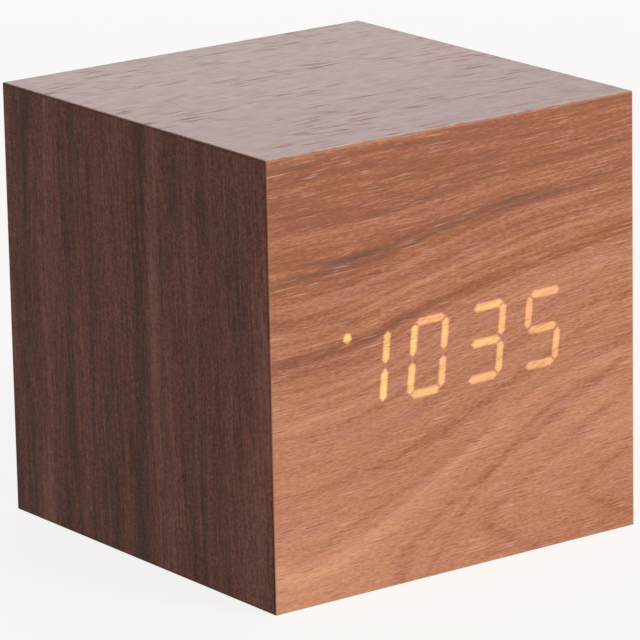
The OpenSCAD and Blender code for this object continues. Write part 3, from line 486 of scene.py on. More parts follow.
rightLook = {
    **sideLook, "seed": 41.0, "figure": leaning(0.03), "colours": walnut["colours"], "gloss": 0.4,
    "cool": frontLook["cool"], "warm": frontLook["warm"],
    "bands": [(-46, 0.40), (-34, 0.43), (-22, 0.46), (-10, 0.43), (2, 0.46), (14, 0.43), (26, 0.46),
              (46, 0.44)],
    "streaks": [(60.0, 3.2, 0.34), (45.0, 1.0, 0.30)],
    "fibres": [(2.4, 0.26, 0.46), (8.0, 0.42, 0.30), (22.0, 1.4, 0.24)],
    "pores": {**sideLook["pores"], "long": 5.0, "wide": 0.40, "colour": frontLook["pores"]["colour"]},
    "paintedGlints": {**frontLook["paintedGlints"], "amount": 0.35},
    # a pale edge line: painted highlight on the rounded edge
    "edge": (0.5, 0.16, (0.66, 0.34, 0.22)),
    "strokes": [(-30.0, -31.5, -32.0, 1.6, -0.14), (-12.5, -12.0, -10.4, 1.1, -0.13),
                (7.0, 7.6, 9.4, 1.8, -0.16), (25.5, 25.0, 25.6, 1.0, -0.12),
                (-20.0, -20.5, -20.0, 2.6, 0.09), (16.0, 16.5, 18.0, 2.0, 0.08)],
}
topLook = {
    "lines": topLines, "figure": leaning(0.02), "seed": 57.0, "wander": 6.0, "tilt": 0.01, "unbroken": 0.3,
    "low": -46.0, "high": 46.0,
    "bands": [(-46, 0.50), (-30, 0.47), (-14, 0.46), (0, 0.48), (16, 0.48), (30, 0.44), (46, 0.45)],
    "colours": [(0.10, (0.080, 0.044, 0.038)), (0.25, (0.190, 0.078, 0.060)), (0.40, (0.335, 0.117, 0.082)),
                (0.50, (0.420, 0.150, 0.104)), (0.60, (0.510, 0.195, 0.134)), (0.78, (0.660, 0.290, 0.200))],
    "gloss": 0.6, "lively": (-50.0, -45.0, 0.0, 1.0),
    "streaks": [(60.0, 4.0, 0.16), (40.0, 1.2, 0.16)],
    "fibres": [(2.2, 0.26, 0.44), (7.0, 0.40, 0.28), (18.0, 3.0, 0.16)],
    "patches": (30.0, 12.0), "cool": (0.98, 0.96, 1.06), "warm": (1.02, 1.03, 0.92),
    "pores": {"long": 7.0, "wide": 0.85, "from": 0.02, "full": 0.26, "crowd": 9.0, "least": 0.2,
              "amount": 0.42, "colour": (0.070, 0.035, 0.032)},
    "paintedGlints": {"long": 3.0, "wide": 0.8, "from": 0.18, "full": 0.30, "crowd": 8.0, "least": 0.2,
               "amount": 0.25, "colour": (0.88, 0.66, 0.52)},
    # a pale edge line: painted highlight on the rounded edge
    "edge": (0.9, 0.80, (0.95, 0.60, 0.42)),
}
bottomLook = {
    **topLook, "lines": levelLines, "seed": 71.0, "figure": leaning(-0.03),
    "edge": (0.7, 0.55, (0.30, 0.14, 0.09)),
}
bandLook = {
    **rightLook, "lines": bandLines, "seed": 83.0, "figure": leaning(0.0),
    "edge": (0.6, 0.30, (0.16, 0.045, 0.025)), "strokes": [],
}

veneers = {
    "front_veneer": veneerMaterial("walnutFront", frontLook, digitGlow),
    "left_veneer": veneerMaterial("walnutLeft", sideLook),
    "right_veneer": veneerMaterial("walnutRight", rightLook),
    "top_veneer": veneerMaterial("walnutTop", topLook),
    "bottom_veneer": veneerMaterial("walnutBottom", bottomLook),
    "rear_edge_bands": veneerMaterial("walnutBands", bandLook),
}


def dress(mesh, material):
    mesh.materials.clear()
    mesh.materials.append(material)


for nodeName, material in veneers.items():
    dress(nodes[nodeName].data, material)
print("veneer dressed:", len(veneers), "sheets")


# Plastics, metals and boards

plastic = {
    "cloudScale": 0.09,             # slow shading, in grains to the mm
    "cloudShade": 0.6, "textureShade": 0.8, "shadeFrom": -0.2,
    "shades": (0.6, 1.4),
    "roughSpread": 0.20,
    "reliefStrength": 0.8,
}


def plasticMaterial(name, colour, rough, grain=0.42, depth=0.08):
    # grain and depth of the moulded texture are in mm
    made, bench = newMaterial(name)
    spot = bench.places()
    texture = bench.speckle(spot, 1 / grain)
    cloud = bench.speckle(spot, plastic["cloudScale"], 3.0)
    shade = bench.add(bench.times(cloud, plastic["cloudShade"]), bench.times(texture, plastic["textureShade"]),
                      plastic["shadeFrom"])
    spread = plastic["roughSpread"]
    surface(bench, Base_Color=bench.mix(shade, *shades(colour, plastic["shades"])),
            Roughness=bench.add(bench.times(cloud, spread), bench.times(texture, spread), rough - spread),
            Normal=bench.bump(texture, depth, plastic["reliefStrength"]))
    return made


metal = {
    "brushScale": (0.8, 6.0, 9.0),
    "shades": (0.78, 1.0),
    "brushRough": 0.16, "dullRough": 0.10,
    "relief": (0.01, 0.4),
}


def metalMaterial(name, colour, rough):
    made, bench = newMaterial(name)
    spot = bench.places()
    brushed = bench.speckle(spot, metal["brushScale"], 3.0)
    dull = bench.noise(bench.point(*spot))
    brushRough, dullRough = metal["brushRough"], metal["dullRough"]
    roughness = bench.add(bench.times(brushed, brushRough), bench.times(dull, dullRough),
                          rough - (brushRough + dullRough) / 2)
    surface(bench, Base_Color=bench.mix(dull, *shades(colour, metal["shades"])), Metallic=1.0,
            Roughness=roughness, Normal=bench.bump(brushed, *metal["relief"]))
    return made


cell = {
    "rows": 3,
    "sleeve": (-18.9, 23.4),        # along the cell from its middle, towards its tip
    "sleeveBlur": 0.1,
    "bandEdge": (10.92, 11.08),
    "ring": (9.95, 10.55),          # a thin line beside the band
    "ringBlur": 0.05,
    "dark": (0.020, 0.021, 0.024),
    "band": (0.50, 0.27, 0.10),
    "steel": (0.62, 0.61, 0.60),
    "printDull": 0.9, "bandShine": 0.5,     # what the print takes off the metal, and its band gives back
    "scuffScale": (0.5, 2.5, 2.5),
    "scuffs": (0.62, 0.8, 0.0, 0.35),
    "rough": 0.2, "scuffRough": 0.2,
}


def cellRows():
    # pitch of the cells, then height and depth of the middle one, in mm
    low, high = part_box("battery_cells")
    pitch = (high.z - low.z - (high.y - low.y)) / (cell["rows"] - 1) / mm
    return pitch, (low.z + high.z) / 2 / mm, (low.y + high.y) / 2 / mm


def cellMaterial(name):
    # a printed foil sleeve between bare ends, with the tip of every other cell on the other side
    made, bench = newMaterial(name)
    spot = bench.places()
    x, y, z = spot
    pitch, middleHeight, _ = cellRows()
    row = bench.math("ROUND", bench.times(bench.minus(z, middleHeight), 1 / pitch))
    along = bench.times(x, bench.minus(bench.times(bench.math("ABSOLUTE", row), 2.0), 1.0))
    printed = bench.inside(along, *cell["sleeve"], cell["sleeveBlur"])
    band = bench.step(along, *cell["bandEdge"])
    ring = bench.inside(along, *cell["ring"], cell["ringBlur"])
    foil = bench.mix(bench.math("MAXIMUM", band, ring), cell["dark"], cell["band"])
    scuffs = bench.speckle(spot, cell["scuffScale"], 4.0)
    foil = bench.mix(bench.step(scuffs, *cell["scuffs"]), foil, cell["steel"])
    tint = bench.mix(printed, cell["steel"], foil)
    dull = bench.minus(cell["printDull"], bench.times(band, cell["bandShine"]))
    surface(bench, Base_Color=tint, Metallic=bench.minus(1.0, bench.times(printed, dull)),
            Roughness=bench.add(bench.times(scuffs, cell["scuffRough"]), cell["rough"]),
            Normal=bench.bump(scuffs, *metal["relief"]))
    return made


fibreboard = {
    "scale": 2.2, "noiseRough": 0.65,
    "colours": [(0.3, (0.23, 0.13, 0.065)), (0.5, (0.40, 0.26, 0.14)), (0.7, (0.52, 0.37, 0.22))],
    "rough": 0.9, "relief": (0.08, 0.6),
}


def fibreMaterial(name):
    made, bench = newMaterial(name)
    fluff = bench.speckle(bench.places(), fibreboard["scale"], 4.0, fibreboard["noiseRough"])
    surface(bench, Base_Color=bench.ramp(fluff, fibreboard["colours"]), Roughness=fibreboard["rough"],
            Normal=bench.bump(fluff, *fibreboard["relief"]))
    return made


board = {
    "laneLength": 5.0, "lanePitch": 1.27, "trackWidth": 0.14, "trackBlur": 0.2,
    "patchScale": 0.13, "patchEdge": (0.42, 0.5),
    "weaveScale": 3.0,
    "lacquer": ((0.010, 0.075, 0.030), (0.018, 0.120, 0.050)),
    "track": (0.045, 0.220, 0.085),
    "rough": 0.32, "relief": (0.04, 0.5),
}


def boardMaterial(name):
    # green lacquer over copper tracks, in a grid of lanes with gaps
    made, bench = newMaterial(name)
    spot = bench.places()
    x, y, z = spot
    values = {"Vector": bench.point(x, z), "Scale": 1.0, "Mortar Size": board["trackWidth"],
              "Mortar Smooth": board["trackBlur"], "Brick Width": board["laneLength"],
              "Row Height": board["lanePitch"]}
    lanes = bench.put("ShaderNodeTexBrick", values).outputs["Fac"]
    scale = board["patchScale"]
    patches = bench.noise(bench.point(bench.times(x, scale), bench.times(z, scale)), 1.0)
    tracks = bench.times(lanes, bench.step(patches, *board["patchEdge"]))
    lacquer = bench.mix(bench.speckle(spot, board["weaveScale"]), *board["lacquer"])
    surface(bench, Base_Color=bench.mix(tracks, lacquer, board["track"]), Roughness=board["rough"],
            Normal=bench.bump(tracks, *board["relief"]))
    return made


resin = {
    "hazeScale": 1.5,
    "shades": (0.9, 1.0), "lightShades": (0.85, 1.0),
    "rough": 0.4, "relief": (0.02, 0.3),
}


def resinMaterial(name, colour, light=None, strength=0.0):
    made, bench = newMaterial(name)
    haze = bench.speckle(bench.places(), resin["hazeScale"])
    sockets = {"Base_Color": bench.mix(haze, *shades(colour, resin["shades"])), "Roughness": resin["rough"],
               "Normal": bench.bump(haze, *resin["relief"])}
    if light:
        sockets["Emission_Color"] = bench.mix(haze, *shades(light, resin["lightShades"]))
        sockets["Emission_Strength"] = strength
    surface(bench, **sockets)
    return made


# colour and roughness, then the grain and depth of the texture where they differ
plastics = {
    "blackPlastic": ((0.026, 0.026, 0.028), 0.50),
    "housingGrey": ((0.035, 0.035, 0.038), 0.55),
    "whitePlastic": ((0.62, 0.60, 0.54), 0.45),
    "chipBlack": ((0.018, 0.018, 0.020), 0.62, 0.12),
    "ribbonGrey": ((0.34, 0.34, 0.35), 0.5),
    "redLead": ((0.42, 0.020, 0.016), 0.42),
    "blackLead": ((0.020, 0.020, 0.022), 0.42),
    "capacitorBlue": ((0.020, 0.032, 0.13), 0.35, 0.3, 0.01),
}
metals = {
    "steel": ((0.60, 0.60, 0.61), 0.32),
    "tinned": ((0.66, 0.65, 0.62), 0.28),
    # steel painted much darker for the screws' cross recesses: painted shade
    "recessSteel": ((0.13, 0.13, 0.135), 0.5),
}
# colour, then the colour and strength of the light where it is lit
resins = {
    "diffuser": ((0.78, 0.77, 0.73),),
    "litResin": ((0.80, 0.62, 0.30), (1.0, 0.55, 0.06), 1.2),
    "clearResin": ((0.66, 0.66, 0.62),),
    "ledYellow": ((0.75, 0.55, 0.10), (1.0, 0.60, 0.05), 0.6),
}
finishes = {
    "cellSleeve": cellMaterial("cellSleeve"),
    "fibreboard": fibreMaterial("fibreboard"),
    "circuitBoard": boardMaterial("circuitBoard"),
}
for makeFinish, looks in ((plasticMaterial, plastics), (metalMaterial, metals), (resinMaterial, resins)):
    for finish, look in looks.items():
        finishes[finish] = makeFinish(finish, *look)

# the solids that no piece below replaces
dressing = {
    "fibreboard": ["front_board", "left_board", "right_board", "top_board", "bottom_board", "corner_blocks"],
    "blackPlastic": ["battery_tray", "buzzer", "usb_insert"],
    "housingGrey": ["display_housing", "switch_bodies"],
    "whitePlastic": ["display_spacers", "display_connector", "main_connector", "set_plunger", "down_plunger",
                     "up_plunger"],
    "chipBlack": ["controller_chip"],
    "redLead": ["positive_lead"],
    "blackLead": ["negative_lead"],
    "capacitorBlue": ["capacitor"],
    "steel": ["display_screws", "main_pcb_screws", "tray_screws", "microphone", "crystal"],
    "cellSleeve": ["battery_cells"],
    "tinned": ["usb_shell", "battery_contacts"],
    "circuitBoard": ["display_pcb", "main_pcb"],
    "diffuser": ["diffuser_film"],
    "litResin": ["lit_segments"],
    "clearResin": ["unlit_segments"],
    "ledYellow": ["led_chips"],
}
for finish, names in dressing.items():
    for nodeName in names:
        dress(nodes[nodeName].data, finishes[finish])
print("finishes made:", len(finishes))


# Rear mouldings: merged copies of their solids, with rounded rims

rounding = {
    "hairline": 0.002,              # points closer than this, in mm, are one point
    "flush": 0.01,                  # points this close to a rim's depth, in mm, lie on it
    "flat": 0.5,                    # faces that turn less than this, in degrees, become one
    "turn": 30.0,                   # edges that turn more than this are rounded
    "sharp": 40.0,                  # edges that turn more than this stay sharp
    "facing": 0.5,                  # faces that look out at least this much belong to a rim
    "segments": 3,
}


def smoothMesh(mesh):
    mesh.polygons.foreach_set("use_smooth", [True] * len(mesh.polygons))
    mesh.set_sharp_from_angle(angle=math.radians(rounding["sharp"]))


def cleaned(work):
    # joins points that coincide and drops faces without an area
    hairline = rounding["hairline"] * mm
    bmesh.ops.remove_doubles(work, verts=work.verts, dist=hairline)
    bmesh.ops.dissolve_degenerate(work, dist=hairline, edges=work.edges)
    bmesh.ops.triangulate(work, faces=work.faces, quad_method="BEAUTY", ngon_method="BEAUTY")
    bmesh.ops.dissolve_degenerate(work, dist=hairline, edges=work.edges)


def plainMesh(holder):
    # the evaluated shape as a mesh of its own, smooth except at sharp edges
    graph = bpy.context.evaluated_depsgraph_get()
    mesh = bpy.data.meshes.new_from_object(holder.evaluated_get(graph))
    bpy.data.objects.remove(holder)
    work = bmesh.new()
    work.from_mesh(mesh)
    cleaned(work)
    work.to_mesh(mesh)
    work.free()
    smoothMesh(mesh)
    return mesh


def heldMesh(name, mesh):
    holder = bpy.data.objects.new(name, mesh)
    bpy.context.scene.collection.objects.link(holder)
    return holder


def newPiece(name, mesh, body, slotName, *replaced):
    piece = heldMesh(name, mesh)
    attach(piece, body)
    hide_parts(*replaced)
    return piece


def softened(nodeName, rims):
    # each rim is a depth in mm, the width of its rounding, and how far from the middle it starts
    mesh = nodes[nodeName].data.copy()
    low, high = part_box(nodeName)
    centre = (low + high) / 2
    work = bmesh.new()
    work.from_mesh(mesh)
    bmesh.ops.remove_doubles(work, verts=work.verts, dist=rounding["hairline"] * mm)
    bmesh.ops.dissolve_limit(work, angle_limit=math.radians(rounding["flat"]), verts=work.verts[:],
                             edges=work.edges[:])
    for depth, width, (clearX, clearZ) in rims:
        picked = []
        for edge in work.edges:
            spot = (edge.verts[0].co + edge.verts[1].co) / 2 - centre
            outside = abs(spot.x) > clearX * mm or abs(spot.z) > clearZ * mm
            level = all(abs(corner.co.y - depth * mm) < rounding["flush"] * mm for corner in edge.verts)
            if outside and level and edge.calc_face_angle_signed(0.0) > math.radians(rounding["turn"]):
                picked.append(edge)
        bmesh.ops.bevel(work, geom=picked, offset=width * mm, offset_type="OFFSET",
                        segments=rounding["segments"], profile=0.5, affect="EDGES", clamp_overlap=True)
    cleaned(work)
    work.to_mesh(mesh)
    work.free()
    mesh.attributes.remove(mesh.attributes["custom_normal"])
    smoothMesh(mesh)
    levelRims(mesh, rims)
    return mesh


def levelRims(mesh, rims):
    # the flat outer faces keep one normal, and the roundings run into it
    outward = Vector((0, 1, 0))
    flush = rounding["flush"]
    normals = [corner.vector.copy() for corner in mesh.corner_normals]
    for face in mesh.polygons:
        depths = [mesh.vertices[place].co.y / mm for place in face.vertices]
        for depth, width, _ in rims:
            outer = max(depths) < depth + flush and min(depths) > depth - width - flush
            if outer and face.normal.y > rounding["facing"]:
                for place, deep in zip(face.loop_indices, depths):
                    if deep > depth - flush:
                        normals[place] = outward
    mesh.normals_split_custom_set(normals)


rubber = {
    "colour": (0.040, 0.040, 0.043), "shades": (0.85, 1.2),
    "textureScale": 6.0, "cloudScale": 0.3,
    "rough": 0.62, "roughSpread": 0.12,
    "relief": (0.02, 0.5),
    "paint": (0.72, 0.72, 0.70),
    "paintBack": 39.2,              # the paint starts at this depth, in mm, and fades out over the next two
    "paintEdge": (39.48, 39.56),
    "chips": (0.28, 0.42, 0.6, 1.0),
}


def rubberMaterial(name):
    # pale paint lies on the floor of the sunk mark
    made, bench = newMaterial(name)
    spot = bench.places()
    x, y, z = spot
    texture = bench.speckle(spot, rubber["textureScale"])
    cloud = bench.speckle(spot, rubber["cloudScale"])
    tint = bench.mix(cloud, *shades(rubber["colour"], rubber["shades"]))
    mark = bench.step(y, *rubber["paintEdge"], 1.0, 0.0)
    mark = bench.times(mark, bench.math("GREATER_THAN", y, rubber["paintBack"]))
    mark = bench.times(mark, bench.step(texture, *rubber["chips"]))
    spread = rubber["roughSpread"]
    surface(bench, Base_Color=bench.mix(mark, tint, rubber["paint"]),
            Roughness=bench.add(bench.times(texture, spread), rubber["rough"] - spread / 2),
            Normal=bench.bump(texture, *rubber["relief"]))
    return made


buttonRims = [(39.7, 0.55, (2.45, 1.9))]
mouldings = {
    "rear_cover": {"body": "case", "slot": "black_plastic", "rims": [(38.8, 0.30, (0, 0))]},
    "battery_door": {"body": "door", "slot": "black_plastic",
                     "rims": [(38.7, 0.28, (0, 0)), (39.05, 0.12, (0, 0))]},
    "set_button": {"body": "set_key", "slot": "grey_plastic", "rims": buttonRims},
    "down_button": {"body": "down_key", "slot": "grey_plastic", "rims": buttonRims},
    "up_button": {"body": "up_key", "slot": "grey_plastic", "rims": buttonRims},
}
mouldingFinishes = {"black_plastic": finishes["blackPlastic"], "grey_plastic": rubberMaterial("buttonRubber")}
for nodeName, moulding in mouldings.items():
    mesh = softened(nodeName, moulding["rims"])
    dress(mesh, mouldingFinishes[moulding["slot"]])
    newPiece(nodeName + "_moulding", mesh, moulding["body"], moulding["slot"], nodeName)
print("mouldings softened:", len(mouldings))


# Screws, springs and the ribbon, grown by node trees: sizes in mm, and whole numbers are counts

def sizedTree(name, sizes):
    tree = bpy.data.node_groups.new(name, "GeometryNodeTree")
    tree.interface.new_socket("Geometry", in_out="INPUT", socket_type="NodeSocketGeometry")
    for label, value in sizes.items():
        kind = "NodeSocketInt" if isinstance(value, int) else "NodeSocketFloat"
        tree.interface.new_socket(label, in_out="INPUT", socket_type=kind)
    tree.interface.new_socket("Geometry", in_out="OUTPUT", socket_type="NodeSocketGeometry")
    bench = Bench(tree)
    return tree, bench, bench.put("NodeGroupInput").outputs


def finishTree(bench, geometry, material, marked=None):
    plain = bench.grow("RealizeInstances", Geometry=geometry)
    done = bench.grow("SetMaterial", Geometry=plain, Material=material)
    if marked:
        label, other = marked
        faces = bench.grow("InputNamedAttribute", Name=label, data_type="BOOLEAN")
        done = bench.grow("SetMaterial", Geometry=done, Selection=faces, Material=other)
    bench.put("NodeGroupOutput", (done,))


def grownMesh(name, tree, sizes, start=None):
    # runs a tree once, on an empty mesh or on the one it starts from
    holder = heldMesh(name, start or bpy.data.meshes.new(name))
    maker = holder.modifiers.new("make", "NODES")
    maker.node_group = tree
    for item in tree.interface.items_tree:
        if item.in_out == "INPUT" and item.name in sizes:
            value = sizes[item.name]
            maker[item.identifier] = value if isinstance(value, int) else value * mm
    return plainMesh(holder)


def moved(bench, geometry, x=0.0, y=0.0, z=0.0, turn=(0.0, 0.0, 0.0), scale=(1.0, 1.0, 1.0)):
    place = bench.point(x, y, z)
    return bench.grow("Transform", Geometry=geometry, Translation=place, Rotation=turn, Scale=scale)


def rotation(bench, x, y):
    return bench.out("FunctionNodeEulerToRotation", (bench.point(x, y),))


def swept(bench, path, profile):
    return bench.grow("CurveToMesh", Curve=path, Profile_Curve=profile, Fill_Caps=True)


def joined(bench, operation, first, *others):
    # a boolean of solids; only a difference keeps its first solid apart
    cut = bench.put("GeometryNodeMeshBoolean", operation=operation, solver="EXACT")
    if operation == "DIFFERENCE":
        bench.feed(cut.inputs["Mesh 1"], first)
    else:
        others = (first, *others)
    for solid in others:
        bench.tree.links.new(solid, cut.inputs["Mesh 2"])
    return cut.outputs[0]


coverScrew = {
    "Head Radius": 2.47, "Head Height": 1.56, "Dome Drop": 0.5, "Shank Radius": 1.3,
    "Recess Length": 3.1, "Recess Width": 0.74, "Recess Depth": 1.0, "Recess Floor": 1.7,
    "Lap": 0.2,                     # how far solids that are joined or cut run into each other
    "Facets": 64, "Rings": 90, "Shank Facets": 32, "Seed": 4,
}


def growScrews():
    low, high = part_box("rear_cover_screws")
    headWidth, headHeight = 2 * coverScrew["Head Radius"], coverScrew["Head Height"]
    sizes = {
        **coverScrew, "Shank Length": (high.y - low.y) / mm - headHeight,
        "Spacing X": (high.x - low.x) / mm - headWidth, "Spacing Z": (high.z - low.z) / mm - headWidth,
        "Seat": high.y / mm - headHeight, "Middle": middle,
    }
    tree, bench, given = sizedTree("crossScrews", sizes)
    radius, height, drop, lap = (given[label] for label in ("Head Radius", "Head Height", "Dome Drop", "Lap"))
    squares = bench.add(bench.times(radius, radius), bench.times(drop, drop))
    ballRadius = bench.math("DIVIDE", squares, bench.times(drop, 2.0))
    disc = bench.grow("MeshCylinder", Vertices=given["Facets"], Radius=radius, Depth=height)
    disc = moved(bench, disc, z=bench.times(height, 0.5))
    ball = bench.grow("MeshUVSphere", Segments=given["Facets"], Rings=given["Rings"], Radius=ballRadius)
    ball = moved(bench, ball, z=bench.minus(height, ballRadius))
    shank = bench.grow("MeshCylinder", Vertices=given["Shank Facets"], Radius=given["Shank Radius"],
                       Depth=bench.add(given["Shank Length"], lap))
    shank = moved(bench, shank, z=bench.times(bench.minus(lap, given["Shank Length"]), 0.5))
    body = joined(bench, "UNION", joined(bench, "INTERSECT", disc, ball), shank)

    # each wing of the cross recess is a tapered square block, flattened
    block = bench.grow("MeshCone", Vertices=4, Depth=bench.add(given["Recess Depth"], lap),
                       Radius_Top=bench.times(given["Recess Length"], math.sqrt(0.5)),
                       Radius_Bottom=bench.times(given["Recess Floor"], math.sqrt(0.5)))
    block = moved(bench, block, turn=(0.0, 0.0, math.pi / 4))
    narrow = bench.math("DIVIDE", given["Recess Width"], given["Recess Length"])
    block = moved(bench, block, scale=bench.point(1.0, narrow, 1.0))
    rise = bench.minus(height, bench.times(given["Recess Depth"], 0.5))
    wings = []
    for turn in (0.0, math.pi / 2):
        wing = moved(bench, block, z=rise, turn=(0.0, 0.0, turn))
        wings.append(bench.grow("StoreNamedAttribute", Geometry=wing, Name="sunk", Value=True,
                                data_type="BOOLEAN", domain="FACE"))
    screw = joined(bench, "DIFFERENCE", body, *wings)

    corners = bench.grow("MeshGrid", Size_X=given["Spacing X"], Size_Y=given["Spacing Z"],
                         Vertices_X=2, Vertices_Y=2)
    corners = moved(bench, corners, y=given["Seat"], z=given["Middle"], turn=(math.pi / 2, 0.0, 0.0))
    spread = {2: 0.0, 3: math.pi, "Seed": given["Seed"]}
    spin = bench.put("FunctionNodeRandomValue", spread, data_type="FLOAT").outputs[1]
    placed = bench.grow("InstanceOnPoints", Points=corners, Instance=screw,
                        Rotation=rotation(bench, -math.pi / 2, spin))
    # the recess faces take the darker steel, painted shade
    finishTree(bench, placed, finishes["steel"], ("sunk", finishes["recessSteel"]))
    return grownMesh("coverScrews", tree, sizes)


cellSpring = {
    "Wire Radius": 0.3, "Turns": 4, "Base Radius": 3.4, "Tip Radius": 2.3, "Length": 4.92,
    "Turn Steps": 40, "Wire Facets": 14,
}


def growSprings():
    pitch, middleHeight, middleDepth = cellRows()
    sizes = {
        **cellSpring, "Rows": cell["rows"], "Pitch": pitch, "Depth": middleDepth,
        "First Height": middleHeight - pitch * (cell["rows"] - 1) / 2,
        "Base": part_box("battery_springs")[1].x / mm - cellSpring["Wire Radius"],
    }
    tree, bench, given = sizedTree("cellSprings", sizes)
    coil = bench.grow("CurveSpiral", Resolution=given["Turn Steps"], Rotations=given["Turns"],
                      Start_Radius=given["Base Radius"], End_Radius=given["Tip Radius"],
                      Height=given["Length"])
    ring = bench.grow("CurvePrimitiveCircle", Resolution=given["Wire Facets"], Radius=given["Wire Radius"])
    line = bench.grow("MeshLine", Count=given["Rows"], Offset=bench.point(0.0, 0.0, given["Pitch"]),
                      Start_Location=bench.point(0.0, given["Depth"], given["First Height"]))
    odd = bench.math("MODULO", bench.grow("InputIndex"), 2.0)
    side = bench.minus(1.0, bench.times(odd, 2.0))      # every other cell faces the other way
    aside = bench.point(bench.times(bench.times(side, -1.0), given["Base"]), 0.0)
    line = bench.grow("SetPosition", Geometry=line, Offset=aside)
    placed = bench.grow("InstanceOnPoints", Points=line, Instance=swept(bench, coil, ring),
                        Rotation=rotation(bench, 0.0, bench.times(side, math.pi / 2)))
    finishTree(bench, placed, finishes["tinned"])
    return grownMesh("cellSprings", tree, sizes)


ribbon = {
    "Wires": 10, "Wire Radius": 0.45, "Web": 0.35, "Bend Radius": 6.0,
    "Bend Steps": 12, "Wire Facets": 12,
}
ribbonClimb = 60.0                  # slope of its middle stretch, in degrees


def growRibbon():
    low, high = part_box("ribbon_cable")
    sizes = {**ribbon, "Pitch": (high.x - low.x) / ribbon["Wires"] / mm, "Middle X": (low.x + high.x) / 2 / mm}
    startZ, endZ = low.z + ribbon["Wire Radius"] * mm, high.z - ribbon["Wire Radius"] * mm
    reach = (endZ - startZ) / math.tan(math.radians(ribbonClimb)) / 2
    centre = (low.y + high.y) / 2
    path = bpy.data.meshes.new("ribbonPath")
    corners = [(low.y, startZ), (centre - reach, startZ), (centre + reach, endZ), (high.y, endZ)]
    path.from_pydata([(0.0, y, z) for y, z in corners], [(0, 1), (1, 2), (2, 3)], [])
    tree, bench, given = sizedTree("ribbonCable", sizes)
    line = bench.grow("MeshToCurve", Mesh=given["Geometry"])
    bent = bench.grow("FilletCurve", Curve=line, Count=given["Bend Steps"], Radius=given["Bend Radius"],
                      mode="POLY")
    level = bench.grow("SetCurveNormal", Curve=bent, mode="Z_UP")
    ring = bench.grow("CurvePrimitiveCircle", Resolution=given["Wire Facets"], Radius=given["Wire Radius"])
    span = bench.times(bench.minus(given["Wires"], 1.0), given["Pitch"])
    start = bench.point(bench.minus(given["Middle X"], bench.times(span, 0.5)), 0.0)
    row = bench.grow("MeshLine", Count=given["Wires"], Start_Location=start,
                     Offset=bench.point(given["Pitch"], 0.0))
    strands = bench.grow("InstanceOnPoints", Points=row, Instance=swept(bench, level, ring))
    flat = bench.grow("CurvePrimitiveQuadrilateral", Width=span, Height=given["Web"])
    web = moved(bench, swept(bench, level, flat), x=given["Middle X"])
    whole = bench.put("GeometryNodeJoinGeometry")
    for part in (strands, web):
        bench.tree.links.new(part, whole.inputs[0])
    finishTree(bench, whole.outputs[0], finishes["ribbonGrey"])
    return grownMesh("ribbonCable", tree, sizes, path)


newPiece("cover_screws", growScrews(), "case", "steel", "rear_cover_screws")
newPiece("cell_springs", growSprings(), "case", "steel", "battery_springs")
newPiece("ribbon", growRibbon(), "case", "ribbon_grey", "ribbon_cable")
print("screws, springs and ribbon grown")


# Studio: pale floor, white surround, soft lamps and the camera

studio = {
    "floorSize": 6.0,
    "paper": (0.956, 0.939, 0.922),      # the background as the camera sees it
    "floorGlow": 0.90,                   # share of the floor's brightness that carries no shadow
    "floorColour": (0.23, 0.227, 0.220),
    "fill": (0.93, 0.96, 1.10),
    "ambient": 0.165,
    "lamps": {
        "keyLamp": {"towards": (0.42, -0.90, 0.11), "distance": 1.3, "size": 0.7, "level": 1.045},
        "rearLamp": {"towards": (0.46, 0.82, 0.33), "distance": 1.2, "size": 0.8, "level": 0.215},
        "leftLamp": {"towards": (-0.98, 0.10, 0.14), "distance": 1.4, "size": 1.0, "level": 0.062},
    },
}
view = {
    "azimuth": -36.44, "elevation": 15.334, "roll": -1.138,
    "distance": 0.9085,
    "aside": (-0.00018, 0.00287),       # from the camera's aim to the middle of the cube, in m
    "focal": 5065.2, "imageWidth": 640,     # in pixels
    "sensor": 36.0,
    "clip": (0.05, 20.0),
}


def seenDirectly(bench):
    path = bench.put("ShaderNodeLightPath").outputs
    mirrored = bench.math("MAXIMUM", path["Is Glossy Ray"], path["Is Transmission Ray"])
    return bench.math("MAXIMUM", path["Is Camera Ray"], mirrored)


def makeFloor():
    size = studio["floorSize"] / 2
    mesh = bpy.data.meshes.new("floor")
    corners = [(-size, -size, 0), (size, -size, 0), (size, size, 0), (-size, size, 0)]
    mesh.from_pydata(corners, [], [(0, 1, 2, 3)])
    floor = heldMesh("floor", mesh)
    made, bench = newMaterial("floorPaper")
    glow = bench.put("ShaderNodeEmission", {"Color": (*studio["paper"], 1.0)})
    bench.feed(glow.inputs["Strength"], bench.times(seenDirectly(bench), studio["floorGlow"]))
    flat = bench.put("ShaderNodeBsdfDiffuse", {"Color": (*studio["floorColour"], 1.0)})
    both = bench.put("ShaderNodeAddShader", (glow.outputs[0], flat.outputs[0]))
    bench.put("ShaderNodeOutputMaterial", {"Surface": both.outputs[0]})
    mesh.materials.append(made)


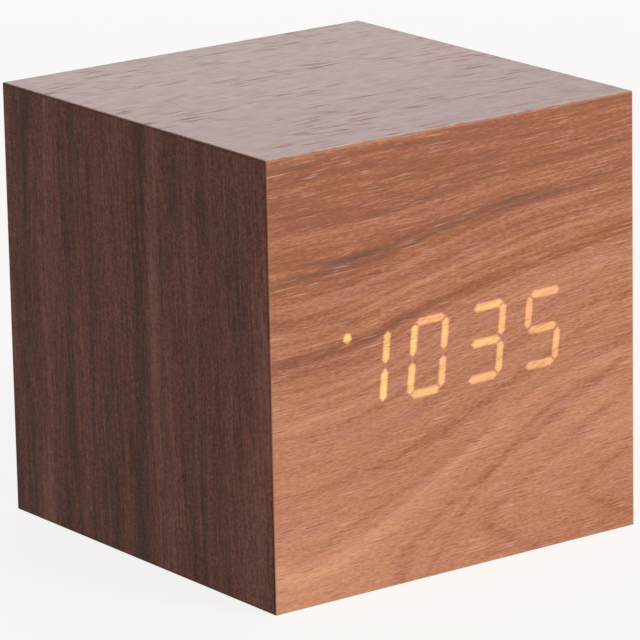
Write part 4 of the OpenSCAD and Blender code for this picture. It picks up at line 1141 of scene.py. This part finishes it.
def makeWorld():
    world = bpy.data.worlds.new("surround")
    world.use_nodes = True
    world.node_tree.nodes.clear()
    bench = Bench(world.node_tree)
    seen = seenDirectly(bench)
    shade = bench.put("ShaderNodeBackground", {"Color": bench.mix(seen, studio["fill"], studio["paper"])})
    bench.feed(shade.inputs["Strength"], bench.between(seen, studio["ambient"], 1.0))
    bench.put("ShaderNodeOutputWorld", {"Surface": shade.outputs[0]})
    bpy.context.scene.world = world


def makeLamp(name, setting):
    # level is the light that a white face turned to the lamp gives back
    lamp = bpy.data.lights.new(name, "AREA")
    lamp.shape = "DISK"
    lamp.size = setting["size"]
    lamp.energy = setting["level"] * math.pi ** 2 * setting["distance"] ** 2
    towards = Vector(setting["towards"]).normalized()
    placed = bpy.data.objects.new(name, lamp)
    placed.location = Vector((0, 0, middle * mm)) + towards * setting["distance"]
    placed.rotation_euler = towards.to_track_quat("Z", "Y").to_euler()
    placed.visible_camera = False
    bpy.context.scene.collection.objects.link(placed)


def makeCamera():
    az, el, roll = (math.radians(view[key]) for key in ("azimuth", "elevation", "roll"))
    back = Vector((math.sin(az) * math.cos(el), -math.cos(az) * math.cos(el), math.sin(el)))
    right = Vector((math.cos(az), math.sin(az), 0))
    up = back.cross(right)
    turned = math.cos(roll) * right + math.sin(roll) * up
    tilted = -math.sin(roll) * right + math.cos(roll) * up
    asideX, asideZ = view["aside"]
    spot = Vector((0, 0, middle * mm)) - turned * asideX - tilted * asideZ + back * view["distance"]
    lens = bpy.data.cameras.new("camera")
    lens.sensor_width = view["sensor"]
    lens.lens = view["focal"] * view["sensor"] / view["imageWidth"]
    lens.clip_start, lens.clip_end = view["clip"]
    camera = bpy.data.objects.new("camera", lens)
    axes = Matrix((turned, tilted, back)).transposed().to_4x4()
    camera.matrix_world = Matrix.Translation(spot) @ axes
    bpy.context.scene.collection.objects.link(camera)
    bpy.context.scene.camera = camera


makeFloor()
makeWorld()
for lampName, setting in studio["lamps"].items():
    makeLamp(lampName, setting)
makeCamera()
bpy.context.scene.view_settings.view_transform = "Standard"
print("studio set")
